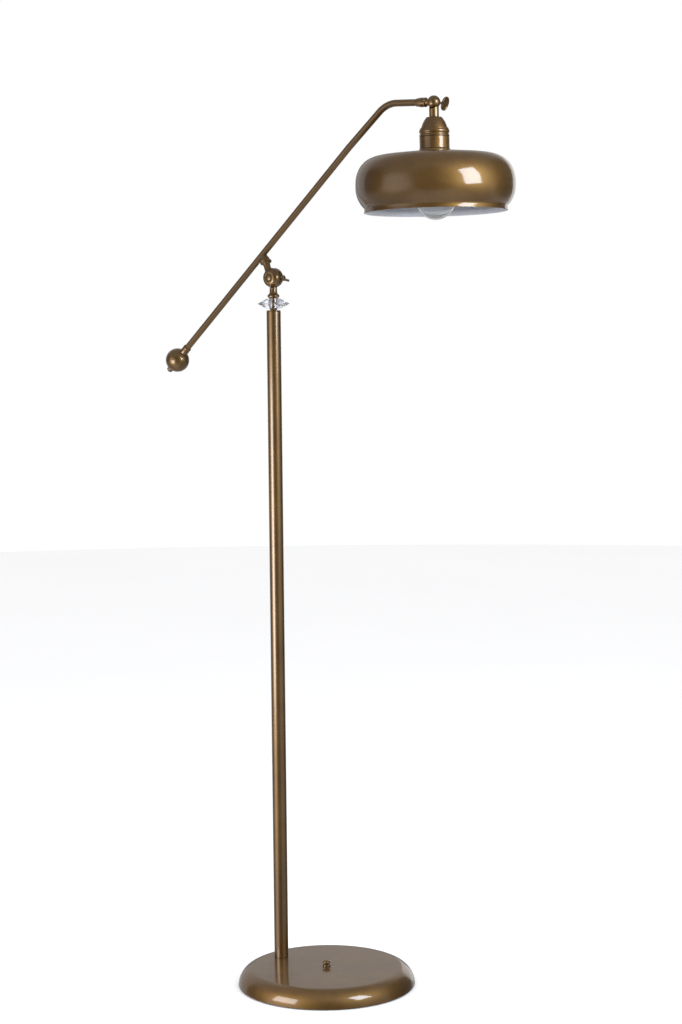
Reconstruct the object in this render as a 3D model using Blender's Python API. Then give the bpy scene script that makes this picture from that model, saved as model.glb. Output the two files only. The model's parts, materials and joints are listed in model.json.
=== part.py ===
"""Adjustable arm floor lamp, as an assembly of separate solids.

Row frame: origin at the centre of the base's underside, +Z up, +X the way the arm reaches.
The column axis, the arm and the lamp head all lie in the plane y = 0.
Moving pieces hang on empties that stand on their joints' axes.
"""
import math

import bmesh
import bpy
from mathutils import Matrix, Vector

MM = 0.001
GAP = 0.3 * MM

# Base
BASE_RADIUS = 155.0 * MM
BASE_HEIGHT = 31.2 * MM
BASE_SHOULDER = 26.8 * MM
BASE_WALL = 1.2 * MM
PAD_RADIUS = 149.0 * MM
PAD_HEIGHT = 1.6 * MM
WEIGHT_RADIUS = 138.0 * MM
WEIGHT_BOTTOM = 3.0 * MM
WEIGHT_TOP = 27.0 * MM
CHANNEL_WIDTH = 10.0 * MM
CHANNEL_TOP = 16.0 * MM
GLAND_ANGLE = math.radians(125.0)
GLAND_HEIGHT = 9.0 * MM

# Column
COLUMN_X = -102.4 * MM
COLUMN_RADIUS = 12.5 * MM
COLUMN_BORE = 11.0 * MM
COLUMN_TOP = 1181.5 * MM
CAP_RIM = 2.1 * MM
NIPPLE_RADIUS = 4.7 * MM
NIPPLE_BORE = 3.3 * MM
NIPPLE_HOLE = 5.2 * MM

# Glass disc on the column
CRYSTAL_BOTTOM = 1184.7 * MM
CRYSTAL_BELT = 1193.0 * MM
CRYSTAL_TOP = 1202.0 * MM
CRYSTAL_RADIUS = 28.1 * MM
CRYSTAL_SIDES = 16

# Arm knuckle
KNUCKLE_Z = 1238.0 * MM
KNUCKLE_RADIUS = 17.0 * MM
KNUCKLE_DEPTH = 13.3 * MM
KNUCKLE_FLAT = 8.5 * MM
KNUCKLE_PART = 0.7 * MM
KNUCKLE_CLEAR = 17.6 * MM
COLLAR_TOP = 1219.7 * MM
COLLAR_NECK = 6.6 * MM

# Arm, in the arm's own frame: origin on the knuckle, x along the straight tube
ARM_SLOPE = math.radians(42.14)
ARM_OFFSET = 46.0 * MM
ARM_RADIUS = 5.7 * MM
ARM_BORE = 4.5 * MM
ARM_BOW_X = 270.0 * MM
ARM_BOW = math.radians(2.0)
ARM_BOW_RADIUS = 300.0 * MM
ARM_CORNER_RUN = 103.67 * MM
ARM_TURN = math.radians(45.04)
ARM_BEND_RADIUS = 50.0 * MM
ARM_TIP_LENGTH = 95.09 * MM
STEM_ANGLE = math.radians(74.9)
STEM_FOOT = 8.0 * MM
STEM_FOOT_Y = -6.0 * MM
STEM_JOINT = 20.0 * MM
COUNTERWEIGHT_X = -263.5 * MM
COUNTERWEIGHT_RADIUS = 21.3 * MM

# Lamp head, in its own frame: origin at the centre of the ball joint
HEAD_TILT = math.radians(0.95)
HEAD_BALL = 10.85 * MM
HEAD_PART = 0.5 * MM
HEAD_CLEAR = 11.2 * MM
NECK_RADIUS = 8.0 * MM
NECK_BOTTOM = -24.3 * MM
SHADE_TOP = -80.6 * MM
SHADE_HOLE = 20.3 * MM
SHADE_CROWN = 88.0 * MM
SHADE_CROWN_Z = -86.3 * MM
SHADE_FULLNESS = 2.25
SHADE_RADIUS = 131.3 * MM
SHADE_BELLY_Z = -134.0 * MM
SHADE_TUCK_Z = -137.7 * MM
SHADE_WAIST = 117.4 * MM
SHADE_WAIST_Z = -172.4 * MM
SHADE_RIM = 118.2 * MM
SHADE_RIM_Z = -178.3 * MM
SHADE_WALL = 1.0 * MM
BULB_RADIUS = 32.3 * MM
BULB_BELLY_Z = -159.0 * MM
BULB_NECK = 13.2 * MM
BULB_NECK_Z = -90.6 * MM
BULB_WALL = 0.8 * MM

# Flexible cable inside the lamp
FLEX_RADIUS = 1.8 * MM

# Finishes: colour, roughness, metallic
FINISHES = {
    "antique_brass": ((0.16, 0.10, 0.045), 0.32, 1.0),
    "steel": ((0.45, 0.45, 0.46), 0.35, 1.0),
    "cast_iron": ((0.05, 0.05, 0.052), 0.7, 0.6),
    "felt": ((0.03, 0.03, 0.03), 0.95, 0.0),
    "crystal": ((0.85, 0.87, 0.92), 0.03, 0.0),
    "bulb_glass": ((0.9, 0.92, 0.94), 0.04, 0.0),
    "porcelain": ((0.85, 0.83, 0.78), 0.3, 0.0),
    "fibre": ((0.12, 0.05, 0.03), 0.7, 0.0),
    "black_plastic": ((0.02, 0.02, 0.02), 0.45, 0.0),
    "white_flex": ((0.7, 0.68, 0.64), 0.5, 0.0),
    "tungsten": ((0.25, 0.24, 0.23), 0.4, 1.0),
}


def clear_scene():
    """Remove every object from the scene."""
    for item in list(bpy.data.objects):
        bpy.data.objects.remove(item, do_unlink=True)


def finish_material(name, finish):
    """A material of its own for one piece, in one of the lamp's finishes."""
    colour, roughness, metallic = FINISHES[finish]
    material = bpy.data.materials.new(name + "_" + finish)
    material.use_nodes = True
    shader = material.node_tree.nodes["Principled BSDF"]
    shader.inputs["Base Color"].default_value = (*colour, 1.0)
    shader.inputs["Roughness"].default_value = roughness
    shader.inputs["Metallic"].default_value = metallic
    return material


def place(item, parent=None, location=(0, 0, 0), rotation=(0, 0, 0)):
    """Put an object at a location and rotation in its parent's frame."""
    item.parent = parent
    item.location = location
    item.rotation_euler = rotation
    return item


def empty(name, parent=None, location=(0, 0, 0), rotation=(0, 0, 0)):
    """An empty that marks a joint or carries pieces."""
    item = bpy.data.objects.new(name, None)
    bpy.context.scene.collection.objects.link(item)
    return place(item, parent, location, rotation)


def solid(name, bm, finish, smooth_degrees=40.0):
    """Make a named object from a bmesh, with outward faces and its own material."""
    bmesh.ops.remove_doubles(bm, verts=bm.verts, dist=0.001 * MM)
    bmesh.ops.recalc_face_normals(bm, faces=bm.faces)
    mesh = bpy.data.meshes.new(name)
    bm.to_mesh(mesh)
    bm.free()
    mesh.shade_smooth()
    mesh.set_sharp_from_angle(angle=math.radians(smooth_degrees))
    mesh.materials.append(finish_material(name, finish))
    item = bpy.data.objects.new(name, mesh)
    bpy.context.scene.collection.objects.link(item)
    return item


def guide(item):
    """Turn an object into a hidden tool body for a Boolean."""
    item.hide_render = True
    item.display_type = "WIRE"
    return item


def boolean(item, tool, operation):
    """Cut, or join, an object with a tool body."""
    modifier = item.modifiers.new(operation.lower() + "_" + tool.name, "BOOLEAN")
    modifier.operation = operation
    modifier.solver = "EXACT"
    modifier.object = guide(tool)
    return item


def turned(name, outline, finish, steps=24):
    """Turn an outline of (radius, height) points about local Z.

    An outline that starts off the axis closes on itself and leaves a bore. Two
    points in a row on the axis aren't joined, so a bulb can have two walls.
    """
    bm = bmesh.new()
    verts = [bm.verts.new((radius, 0.0, height)) for radius, height in outline]
    pairs = list(zip(verts, verts[1:]))
    if outline[0][0] > 0.0:
        pairs.append((verts[-1], verts[0]))
    edges = [bm.edges.new(pair) for pair in pairs if pair[0].co.x + pair[1].co.x > 0.0]
    bmesh.ops.spin(
        bm, geom=verts + edges, cent=(0, 0, 0), axis=(0, 0, 1),
        angle=math.tau, steps=steps, use_merge=True)
    return solid(name, bm, finish)


def rod(name, radius, low, high, finish="steel", steps=16, bore=0.0):
    """A straight round bar or tube along local Z."""
    if bore > 0.0:
        return turned(name, [(bore, low), (radius, low), (radius, high), (bore, high)], finish, steps)
    return turned(name, [(0.0, low), (radius, low), (radius, high), (0.0, high)], finish, steps)


def arc(centre, radii, start, end, count):
    """Points of an elliptical arc, angles in degrees from the +radius direction."""
    points = []
    for index in range(count + 1):
        angle = math.radians(start + (end - start) * index / count)
        points.append((centre[0] + radii[0] * math.cos(angle), centre[1] + radii[1] * math.sin(angle)))
    return points


def plate(name, outline, thickness, finish):
    """Extrude a flat outline, drawn in local X and Z, equally to both sides in Y."""
    bm = bmesh.new()
    verts = [bm.verts.new((x, -thickness / 2, z)) for x, z in outline]
    face = bm.faces.new(verts)
    grown = bmesh.ops.extrude_face_region(bm, geom=[face])
    moved = [part for part in grown["geom"] if isinstance(part, bmesh.types.BMVert)]
    bmesh.ops.translate(bm, verts=moved, vec=(0, thickness, 0))
    return solid(name, bm, finish)


def box(name, low, high, finish="steel"):
    """A rectangular block between two corners."""
    bm = bmesh.new()
    size = [b - a for a, b in zip(low, high)]
    middle = [(a + b) / 2 for a, b in zip(low, high)]
    bmesh.ops.create_cube(bm, size=1.0, matrix=Matrix.Translation(middle) @ Matrix.Diagonal((*size, 1.0)))
    return solid(name, bm, finish)


def hex_nut(name, across_flats, bore, low, high, finish="steel"):
    """A hexagon nut about local Z, without its thread."""
    corner = across_flats / 2 / math.cos(math.pi / 6)
    outline = [(corner * math.cos(k * math.pi / 3), corner * math.sin(k * math.pi / 3)) for k in range(6)]
    bm = bmesh.new()
    ring = [bm.verts.new((x, y, low)) for x, y in outline]
    face = bm.faces.new(ring)
    grown = bmesh.ops.extrude_face_region(bm, geom=[face])
    moved = [part for part in grown["geom"] if isinstance(part, bmesh.types.BMVert)]
    bmesh.ops.translate(bm, verts=moved, vec=(0, 0, high - low))
    return solid(name, bm, finish), rod(name + "_bore", bore, low - MM, high + MM, finish)


def rounded_path(corners, radii, step_degrees=9.0):
    """A polyline through corners, each inner corner rounded to its radius."""
    points = [Vector(corners[0])]
    for index, radius in enumerate(radii, start=1):
        here = Vector(corners[index])
        back = (Vector(corners[index - 1]) - here).normalized()
        ahead = (Vector(corners[index + 1]) - here).normalized()
        turn = math.pi - back.angle(ahead)
        reach = radius * math.tan(turn / 2)
        centre = here + (back + ahead).normalized() * (radius / math.cos(turn / 2))
        start = here + back * reach
        count = max(2, math.ceil(math.degrees(turn) / step_degrees))
        axis = back.cross(ahead).normalized()
        for turned_part in range(count + 1):
            spin = Matrix.Rotation(-turn * turned_part / count, 3, axis)
            points.append(centre + spin @ (start - centre))
    points.append(Vector(corners[-1]))
    return points


def pipe(name, path, radius, bore, finish, sides=16):
    """A hollow tube along a path that lies in a plane of constant y."""
    bm = bmesh.new()
    rings = []
    for index, point in enumerate(path):
        before = path[max(index - 1, 0)]
        after = path[min(index + 1, len(path) - 1)]
        along = (after - before).normalized()
        up = Vector((-along.z, 0.0, along.x))
        loops = []
        for size in (radius, bore):
            loop = []
            for side in range(sides):
                angle = math.tau * side / sides
                offset = up * (size * math.cos(angle)) + Vector((0.0, size * math.sin(angle), 0.0))
                loop.append(bm.verts.new(point + offset))
            loops.append(loop)
        rings.append(loops)
    for first, second in zip(rings, rings[1:]):
        for wall in range(2):
            for side in range(sides):
                onward = (side + 1) % sides
                bm.faces.new((first[wall][side], first[wall][onward], second[wall][onward], second[wall][side]))
    for outer, inner in (rings[0], rings[-1]):
        for side in range(sides):
            onward = (side + 1) % sides
            bm.faces.new((outer[side], outer[onward], inner[onward], inner[side]))
    return solid(name, bm, finish)


def flex(name, path, radius=FLEX_RADIUS, finish="white_flex"):
    """A thin round cable along a path of points, with closed ends."""
    curve = bpy.data.curves.new(name, "CURVE")
    curve.dimensions = "3D"
    curve.bevel_depth = radius
    curve.bevel_resolution = 2
    curve.use_fill_caps = True
    spline = curve.splines.new("POLY")
    spline.points.add(len(path) - 1)
    for slot, point in zip(spline.points, path):
        slot.co = (*point, 1.0)
    curve.materials.append(finish_material(name, finish))
    item = bpy.data.objects.new(name, curve)
    bpy.context.scene.collection.objects.link(item)
    return item


# ---------------------------------------------------------------- base and column


def make_base_cover():
    """Spun steel cover: flat top, rounded shoulder, open below."""
    inner_radius = BASE_RADIUS - BASE_WALL
    top_edge = BASE_RADIUS - BASE_SHOULDER
    foot = PAD_HEIGHT + GAP
    shoulder = arc((top_edge, 0.0), (BASE_SHOULDER, BASE_HEIGHT), 90, 6, 5)
    lining = arc((top_edge, 0.0), (BASE_SHOULDER - BASE_WALL, BASE_HEIGHT - BASE_WALL), 6, 90, 5)
    outline = [(0.0, BASE_HEIGHT)] + shoulder
    outline += [(BASE_RADIUS, foot), (inner_radius, foot)] + lining
    outline += [(0.0, BASE_HEIGHT - BASE_WALL)]
    cover = turned("base_cover", outline, "antique_brass", 40)
    column_hole = rod("cover_column_hole", 5.6 * MM, 20 * MM, 40 * MM)
    boolean(cover, place(column_hole, None, (COLUMN_X, 0, 0)), "DIFFERENCE")
    boolean(cover, rod("cover_switch_hole", 6.0 * MM, 20 * MM, 40 * MM), "DIFFERENCE")
    gland_hole = rod("cover_gland_hole", 4.8 * MM, 140 * MM, 165 * MM)
    place(gland_hole, None, (0, 0, GLAND_HEIGHT), (0, math.pi / 2, GLAND_ANGLE))
    boolean(cover, gland_hole, "DIFFERENCE")


def make_base_weight():
    """Cast iron weight with a nut recess, a switch hole and two cable channels."""
    weight = rod("base_weight", WEIGHT_RADIUS, WEIGHT_BOTTOM, WEIGHT_TOP, "cast_iron", 48, 16 * MM)
    place(weight, None, (0, 0, 0), (0, 0, math.pi / 48))
    recess = rod("weight_nut_recess", 17 * MM, 0.0, 19 * MM)
    boolean(weight, place(recess, None, (COLUMN_X, 0, 0)), "DIFFERENCE")
    nipple_hole = rod("weight_nipple_hole", 5.6 * MM, 10 * MM, 40 * MM)
    boolean(weight, place(nipple_hole, None, (COLUMN_X, 0, 0)), "DIFFERENCE")
    half = CHANNEL_WIDTH / 2
    inside = 8 * MM
    column_channel = box("weight_column_channel", (COLUMN_X + inside, -half, 0.0), (-inside, half, CHANNEL_TOP))
    boolean(weight, column_channel, "DIFFERENCE")
    gland_channel = box("weight_gland_channel", (inside, -half, MM), (BASE_RADIUS, half, CHANNEL_TOP - MM))
    boolean(weight, place(gland_channel, None, (0, 0, 0), (0, 0, GLAND_ANGLE)), "DIFFERENCE")


def make_base_fittings():
    """The pad under the base, and what clamps the column to it."""
    rod("base_pad", PAD_RADIUS, 0.0, PAD_HEIGHT, "felt", 48)
    column = (COLUMN_X, 0, 0)
    place(rod("base_nipple", 5.0 * MM, 10.5 * MM, 47 * MM, "steel", 16, 3.5 * MM), None, column)
    place(rod("base_washer", 13 * MM, 17.0 * MM, 18.7 * MM, "steel", 20, 5.3 * MM), None, column)
    nut, bore = hex_nut("base_nut", 17 * MM, 5.3 * MM, 10.7 * MM, 16.7 * MM)
    place(nut, None, column)
    boolean(nut, place(bore, None, column), "DIFFERENCE")
    gland = turned("cord_gland", [
        (2.6 * MM, 145.0 * MM), (4.4 * MM, 145.0 * MM), (4.4 * MM, 155.0 * MM),
        (6.2 * MM, 155.0 * MM), (6.2 * MM, 156.4 * MM), (5.0 * MM, 157.4 * MM),
        (2.6 * MM, 157.4 * MM)], "black_plastic", 16)
    place(gland, None, (0, 0, GLAND_HEIGHT), (0, math.pi / 2, GLAND_ANGLE))


def make_foot_switch(button_axis):
    """Push switch in the middle of the base: body, ring nut and sprung button."""
    turned("foot_switch_body", [
        (0.0, 3.5 * MM), (13 * MM, 3.5 * MM), (13 * MM, 24 * MM), (5.5 * MM, 24 * MM),
        (5.5 * MM, 33.5 * MM), (3.4 * MM, 33.5 * MM), (3.4 * MM, 20 * MM), (0.0, 20 * MM)],
        "black_plastic", 20)
    turned("foot_switch_ring", [
        (5.8 * MM, 31.5 * MM), (7.0 * MM, 31.5 * MM), (7.0 * MM, 33.2 * MM),
        (6.6 * MM, 34.0 * MM), (5.8 * MM, 34.0 * MM)], "antique_brass", 20)
    button = turned("foot_switch_button", [
        (0.0, 24.3 * MM), (3.0 * MM, 24.3 * MM), (3.0 * MM, 37.3 * MM), (6.2 * MM, 37.3 * MM),
        (7.0 * MM, 38.2 * MM)] + arc((0.0, 38.8 * MM), (7.0 * MM, 3.4 * MM), 10, 90, 5),
        "antique_brass", 20)
    place(button, button_axis)


def make_column():
    """Column tube with its foot bush and top cap."""
    column = (COLUMN_X, 0, 0)
    foot = BASE_HEIGHT + GAP
    tube_top = COLUMN_TOP - CAP_RIM - GAP
    tube = rod("column_tube", COLUMN_RADIUS, foot, tube_top, "antique_brass", 20, COLUMN_BORE)
    place(tube, None, column)
    bush = rod("column_foot_bush", 10.6 * MM, foot, foot + 20 * MM, "steel", 20, 5.3 * MM)
    place(bush, None, column)
    cap = turned("column_cap", [
        (NIPPLE_HOLE, 1165 * MM), (10.6 * MM, 1165 * MM), (10.6 * MM, COLUMN_TOP - CAP_RIM),
        (COLUMN_RADIUS, COLUMN_TOP - CAP_RIM), (COLUMN_RADIUS, COLUMN_TOP - 0.5 * MM),
        (COLUMN_RADIUS - 0.4 * MM, COLUMN_TOP), (NIPPLE_HOLE, COLUMN_TOP)], "antique_brass", 20)
    place(cap, None, column)


def make_crystal():
    """Cut glass disc with triangular facets, threaded on the nipple between two rings."""
    column = (COLUMN_X, 0, 0)
    rings = ((12.5 * MM, CRYSTAL_BOTTOM, 0.5), (CRYSTAL_RADIUS, CRYSTAL_BELT, 0.0),
             (11.7 * MM, CRYSTAL_TOP, 0.5))
    bm = bmesh.new()
    loops = []
    for radius, height, shift in rings:
        loop = []
        for side in range(CRYSTAL_SIDES):
            angle = math.tau * (side + shift) / CRYSTAL_SIDES
            loop.append(bm.verts.new((radius * math.cos(angle), radius * math.sin(angle), height)))
        loops.append(loop)
    bottom, belt, top = loops
    for side in range(CRYSTAL_SIDES):
        onward = (side + 1) % CRYSTAL_SIDES
        for rim in (bottom, top):
            bm.faces.new((belt[side], belt[onward], rim[side]))
            bm.faces.new((rim[side], belt[onward], rim[onward]))
    bm.faces.new(bottom)
    bm.faces.new(top)
    disc = place(solid("crystal_disc", bm, "crystal", 5.0), None, column)
    bore = rod("crystal_bore", 5.8 * MM, CRYSTAL_BOTTOM - 5 * MM, CRYSTAL_TOP + 5 * MM)
    boolean(disc, place(bore, None, column), "DIFFERENCE")
    seat = turned("crystal_seat", [
        (NIPPLE_HOLE, 1181.8 * MM), (6.8 * MM, 1181.8 * MM), (6.1 * MM, 1183.1 * MM),
        (6.8 * MM, 1184.4 * MM), (NIPPLE_HOLE, 1184.4 * MM)], "antique_brass", 20)
    place(seat, None, column)
    washer = rod("crystal_washer", 9.0 * MM, 1202.3 * MM, 1203.0 * MM, "black_plastic", 20, NIPPLE_HOLE)
    place(washer, None, column)
    nipple = rod("centre_nipple", NIPPLE_RADIUS, 1160 * MM, 1216 * MM, "antique_brass", 16, NIPPLE_BORE)
    place(nipple, None, column)


def make_base_cables():
    """Internal flex: gland to switch, and switch up the column to the swivel."""
    direction = Vector((math.cos(GLAND_ANGLE), math.sin(GLAND_ANGLE), 0.0))
    lift = Vector((0.0, 0.0, GLAND_HEIGHT))
    flex("base_flex", [direction * (144.5 * MM) + lift, direction * (13.6 * MM) + lift])
    low = 4.8 * MM
    entry = 10.0 * MM
    corners = [(-13.6 * MM, 0, entry), (-30 * MM, 0, entry), (-45 * MM, 0, low),
               (COLUMN_X, 0, low), (COLUMN_X, 0, 1214 * MM)]
    flex("column_flex", rounded_path(corners, (15 * MM, 15 * MM, 5.5 * MM), 15.0))


# ---------------------------------------------------------------- swivel and knuckle


def knuckle_half_outline(bore, recess):
    """Outline of a domed knuckle half: height 0 is the plane where the halves meet."""
    dome = arc((KNUCKLE_FLAT, 2.5 * MM), (KNUCKLE_RADIUS - KNUCKLE_FLAT, KNUCKLE_DEPTH - 2.5 * MM), 0, 90, 4)
    return [(bore, KNUCKLE_PART), (KNUCKLE_RADIUS, KNUCKLE_PART)] + dome + recess


def make_knuckle(swivel, arm, wing_axis):
    """Friction knuckle: two domed halves, clamped by a screw and a wing nut."""
    bore = 3.0 * MM
    lower = turned("knuckle_lower", knuckle_half_outline(bore, [(bore, KNUCKLE_DEPTH)]), "antique_brass", 24)
    place(lower, swivel, (0, 0, KNUCKLE_Z), (-math.pi / 2, 0, 0))
    foot = rod("knuckle_foot", COLLAR_NECK, COLLAR_TOP + GAP, KNUCKLE_Z - 8 * MM, "steel", 20)
    boolean(lower, place(foot, swivel), "UNION")
    foot_cut = rod("knuckle_foot_cut", KNUCKLE_CLEAR, -20 * MM, KNUCKLE_PART, "steel", 24)
    place(foot_cut, swivel, (0, 0, KNUCKLE_Z), (-math.pi / 2, 0, 0))
    boolean(lower, foot_cut, "DIFFERENCE")

    recess = [(7.2 * MM, KNUCKLE_DEPTH), (6.8 * MM, 12.0 * MM), (bore, 12.0 * MM)]
    upper = turned("knuckle_upper", knuckle_half_outline(bore, recess), "antique_brass", 24)
    place(upper, arm, (0, 0, 0), (math.pi / 2, 0, 0))
    stub = turned("knuckle_stub", [
        (0.0, 4 * MM), (6.4 * MM, 4 * MM), (6.0 * MM, 14 * MM), (6.6 * MM, STEM_JOINT),
        (0.0, STEM_JOINT)], "steel", 20)
    boolean(upper, place_on_stem(stub, arm), "UNION")
    stub_cut = rod("knuckle_stub_cut", KNUCKLE_CLEAR, -KNUCKLE_PART, 20 * MM, "steel", 24)
    place(stub_cut, arm, (0, 0, 0), (-math.pi / 2, 0, 0))
    boolean(upper, stub_cut, "DIFFERENCE")
    screw_clear = rod("knuckle_screw_clear", bore, -20 * MM, 20 * MM)
    boolean(upper, place(screw_clear, arm, (0, 0, 0), (math.pi / 2, 0, 0)), "DIFFERENCE")

    fibre = rod("knuckle_friction_washer", 14 * MM, -0.4 * MM, 0.4 * MM, "fibre", 24, bore)
    place(fibre, swivel, (0, 0, KNUCKLE_Z), (-math.pi / 2, 0, 0))
    screw = turned("knuckle_screw", [(0.0, 29 * MM), (2.5 * MM, 29 * MM), (2.5 * MM, -12.35 * MM),
                                     (6.3 * MM, -12.35 * MM)]
                   + arc((0.0, -13.0 * MM), (6.3 * MM, 2.4 * MM), 0, -90, 4), "antique_brass", 20)
    place(screw, swivel, (0, 0, KNUCKLE_Z), (-math.pi / 2, 0, 0))
    spring = rod("knuckle_spring_washer", 6.5 * MM, 13.7 * MM, 14.9 * MM, "steel", 20, bore)
    place(spring, swivel, (0, 0, KNUCKLE_Z), (-math.pi / 2, 0, 0))
    make_wing_nut(wing_axis)


def make_wing_nut(wing_axis):
    """Wing nut: a tapered hub with two ears that lean outwards."""
    nut = turned("knuckle_wing_nut", [
        (0.0, 15.3 * MM), (6.5 * MM, 15.3 * MM), (5.9 * MM, 17 * MM), (5.5 * MM, 27.5 * MM),
        (5.0 * MM, 28.5 * MM), (0.0, 28.5 * MM)], "antique_brass", 20)
    place(nut, wing_axis, (0, 0, 0), (-math.pi / 2, 0, 0))
    ear = [(5.2 * MM, 17.5 * MM), (9.6 * MM, 24.5 * MM)]
    ear += arc((9.0 * MM, 30.2 * MM), (3.0 * MM, 3.0 * MM), -30, 200, 6)
    ear += [(4.6 * MM, 27.0 * MM)]
    outline = ear + [(-x, z) for x, z in reversed(ear)]
    ears = plate("wing_nut_ears", outline, 2.8 * MM, "steel")
    ear_turn = math.radians(27.0)
    ears.data.transform(Matrix.Rotation(-math.pi / 2, 4, "X"))
    boolean(nut, place(ears, wing_axis, (0, 0, 0), (0, ear_turn, 0)), "UNION")
    bore = rod("wing_nut_bore", 2.8 * MM, 10 * MM, 40 * MM)
    boolean(nut, place(bore, wing_axis, (0, 0, 0), (-math.pi / 2, 0, 0)), "DIFFERENCE")


def make_swivel_collar(swivel):
    """Turned collar that turns on the nipple and carries the knuckle."""
    collar = turned("swivel_collar", [
        (0.0, 1216.5 * MM), (NIPPLE_HOLE, 1216.5 * MM), (NIPPLE_HOLE, 1203.3 * MM),
        (8.8 * MM, 1203.3 * MM)]
        + arc((8.4 * MM, 1206.3 * MM), (2.2 * MM, 2.7 * MM), -60, 60, 4)
        + [(8.0 * MM, 1210.2 * MM), (COLLAR_NECK, 1212.8 * MM), (COLLAR_NECK, COLLAR_TOP),
           (0.0, COLLAR_TOP)], "antique_brass", 24)
    place(collar, swivel)


# ---------------------------------------------------------------- arm


def stem_ends():
    """Ends of the stem's axis in the arm frame: inside the knuckle, and on the tube's axis."""
    reach = ARM_OFFSET / math.sin(STEM_ANGLE)
    low = Vector((STEM_FOOT * math.cos(STEM_ANGLE), STEM_FOOT_Y, STEM_FOOT * math.sin(STEM_ANGLE)))
    high = Vector((reach * math.cos(STEM_ANGLE), 0.0, ARM_OFFSET))
    return low, high


def place_on_stem(item, arm):
    """Stand a piece on the stem's axis, its local Z pointing at the arm tube."""
    low, high = stem_ends()
    turn = (high - low).to_track_quat("Z", "Y").to_euler()
    return place(item, arm, low, turn)


def arm_corners():
    """Corners of the arm tube's centre line in the arm frame, up to the head joint.

    The first corner is a faint bow, the second is the bend.
    """
    start = Vector((COUNTERWEIGHT_X + 24.5 * MM, 0.0, ARM_OFFSET))
    bow = Vector((ARM_BOW_X, 0.0, ARM_OFFSET))
    corner = bow + Vector((math.cos(ARM_BOW), 0.0, -math.sin(ARM_BOW))) * ARM_CORNER_RUN
    tip = Vector((math.cos(ARM_TURN), 0.0, -math.sin(ARM_TURN)))
    return start, bow, corner, corner + tip * ARM_TIP_LENGTH


def make_arm_stem(arm):
    """Turned stem with a ring, saddled to the underside of the tube."""
    low, high = stem_ends()
    length = (high - low).length
    bore = 3.0 * MM
    stem = turned("arm_stem", [
        (bore, STEM_JOINT + GAP), (6.9 * MM, STEM_JOINT + GAP), (7.3 * MM, 21.2 * MM),
        (9.8 * MM, 21.6 * MM), (10.3 * MM, 22.4 * MM), (10.3 * MM, 23.6 * MM), (9.8 * MM, 24.4 * MM),
        (8.2 * MM, 24.8 * MM), (8.4 * MM, 26.5 * MM), (7.4 * MM, 30.5 * MM), (5.4 * MM, 35.5 * MM),
        (5.0 * MM, length), (bore, length)], "antique_brass", 24)
    place_on_stem(stem, arm)
    clearance = rod("stem_tube_clearance", ARM_RADIUS + GAP, -60 * MM, 60 * MM, "steel", 24)
    boolean(stem, place(clearance, arm, high, (0, math.pi / 2, 0)), "DIFFERENCE")


def make_arm_tube(arm):
    """Bent arm tube with a cable hole over the stem."""
    start, bow, corner, tip = arm_corners()
    back = (corner - tip).normalized()
    end = tip + back * (16.5 * MM)
    path = rounded_path((start, bow, corner, end), (ARM_BOW_RADIUS, ARM_BEND_RADIUS), 7.5)
    tube = pipe("arm_tube", path, ARM_RADIUS, ARM_BORE, "antique_brass", 12)
    place(tube, arm)
    low, high = stem_ends()
    length = (high - low).length
    hole = rod("arm_cable_hole", 3.0 * MM, length - 10 * MM, length, "steel", 16)
    boolean(tube, place_on_stem(hole, arm), "DIFFERENCE")


def make_counterweight(arm):
    """Ball on a stud at the low end of the arm, with a collar and a domed nut."""
    axis = empty("counterweight_axis", arm, (COUNTERWEIGHT_X, 0, ARM_OFFSET), (0, -math.pi / 2, 0))
    bore = 3.4 * MM
    polar = math.degrees(math.asin(bore / COUNTERWEIGHT_RADIUS))
    size = (COUNTERWEIGHT_RADIUS, COUNTERWEIGHT_RADIUS)
    ball = turned("counterweight_ball", arc((0.0, 0.0), size, polar - 90, 90 - polar, 10), "antique_brass", 20)
    place(ball, axis)
    collar = turned("counterweight_collar", [
        (bore, -24.2 * MM), (6.0 * MM, -24.2 * MM), (6.0 * MM, -34 * MM), (6.8 * MM, -34 * MM),
        (7.3 * MM, -33 * MM), (7.3 * MM, -24.5 * MM), (7.6 * MM, -20.8 * MM),
        (bore, -21.6 * MM)], "antique_brass", 20)
    place(collar, axis)
    place(rod("arm_end_plug", 4.2 * MM, -46 * MM, -25 * MM, "steel", 16, bore), axis)
    place(rod("counterweight_stud", 3.0 * MM, -44 * MM, 25.6 * MM, "steel", 12), axis)
    nut = turned("counterweight_nut", [
        (0.0, 26.0 * MM), (bore, 26.0 * MM), (bore, 21.6 * MM), (5.4 * MM, 21.6 * MM),
        (5.6 * MM, 24.6 * MM)] + arc((0.0, 25.4 * MM), (5.4 * MM, 3.9 * MM), 10, 90, 4),
        "antique_brass", 20)
    place(nut, axis)


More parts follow.
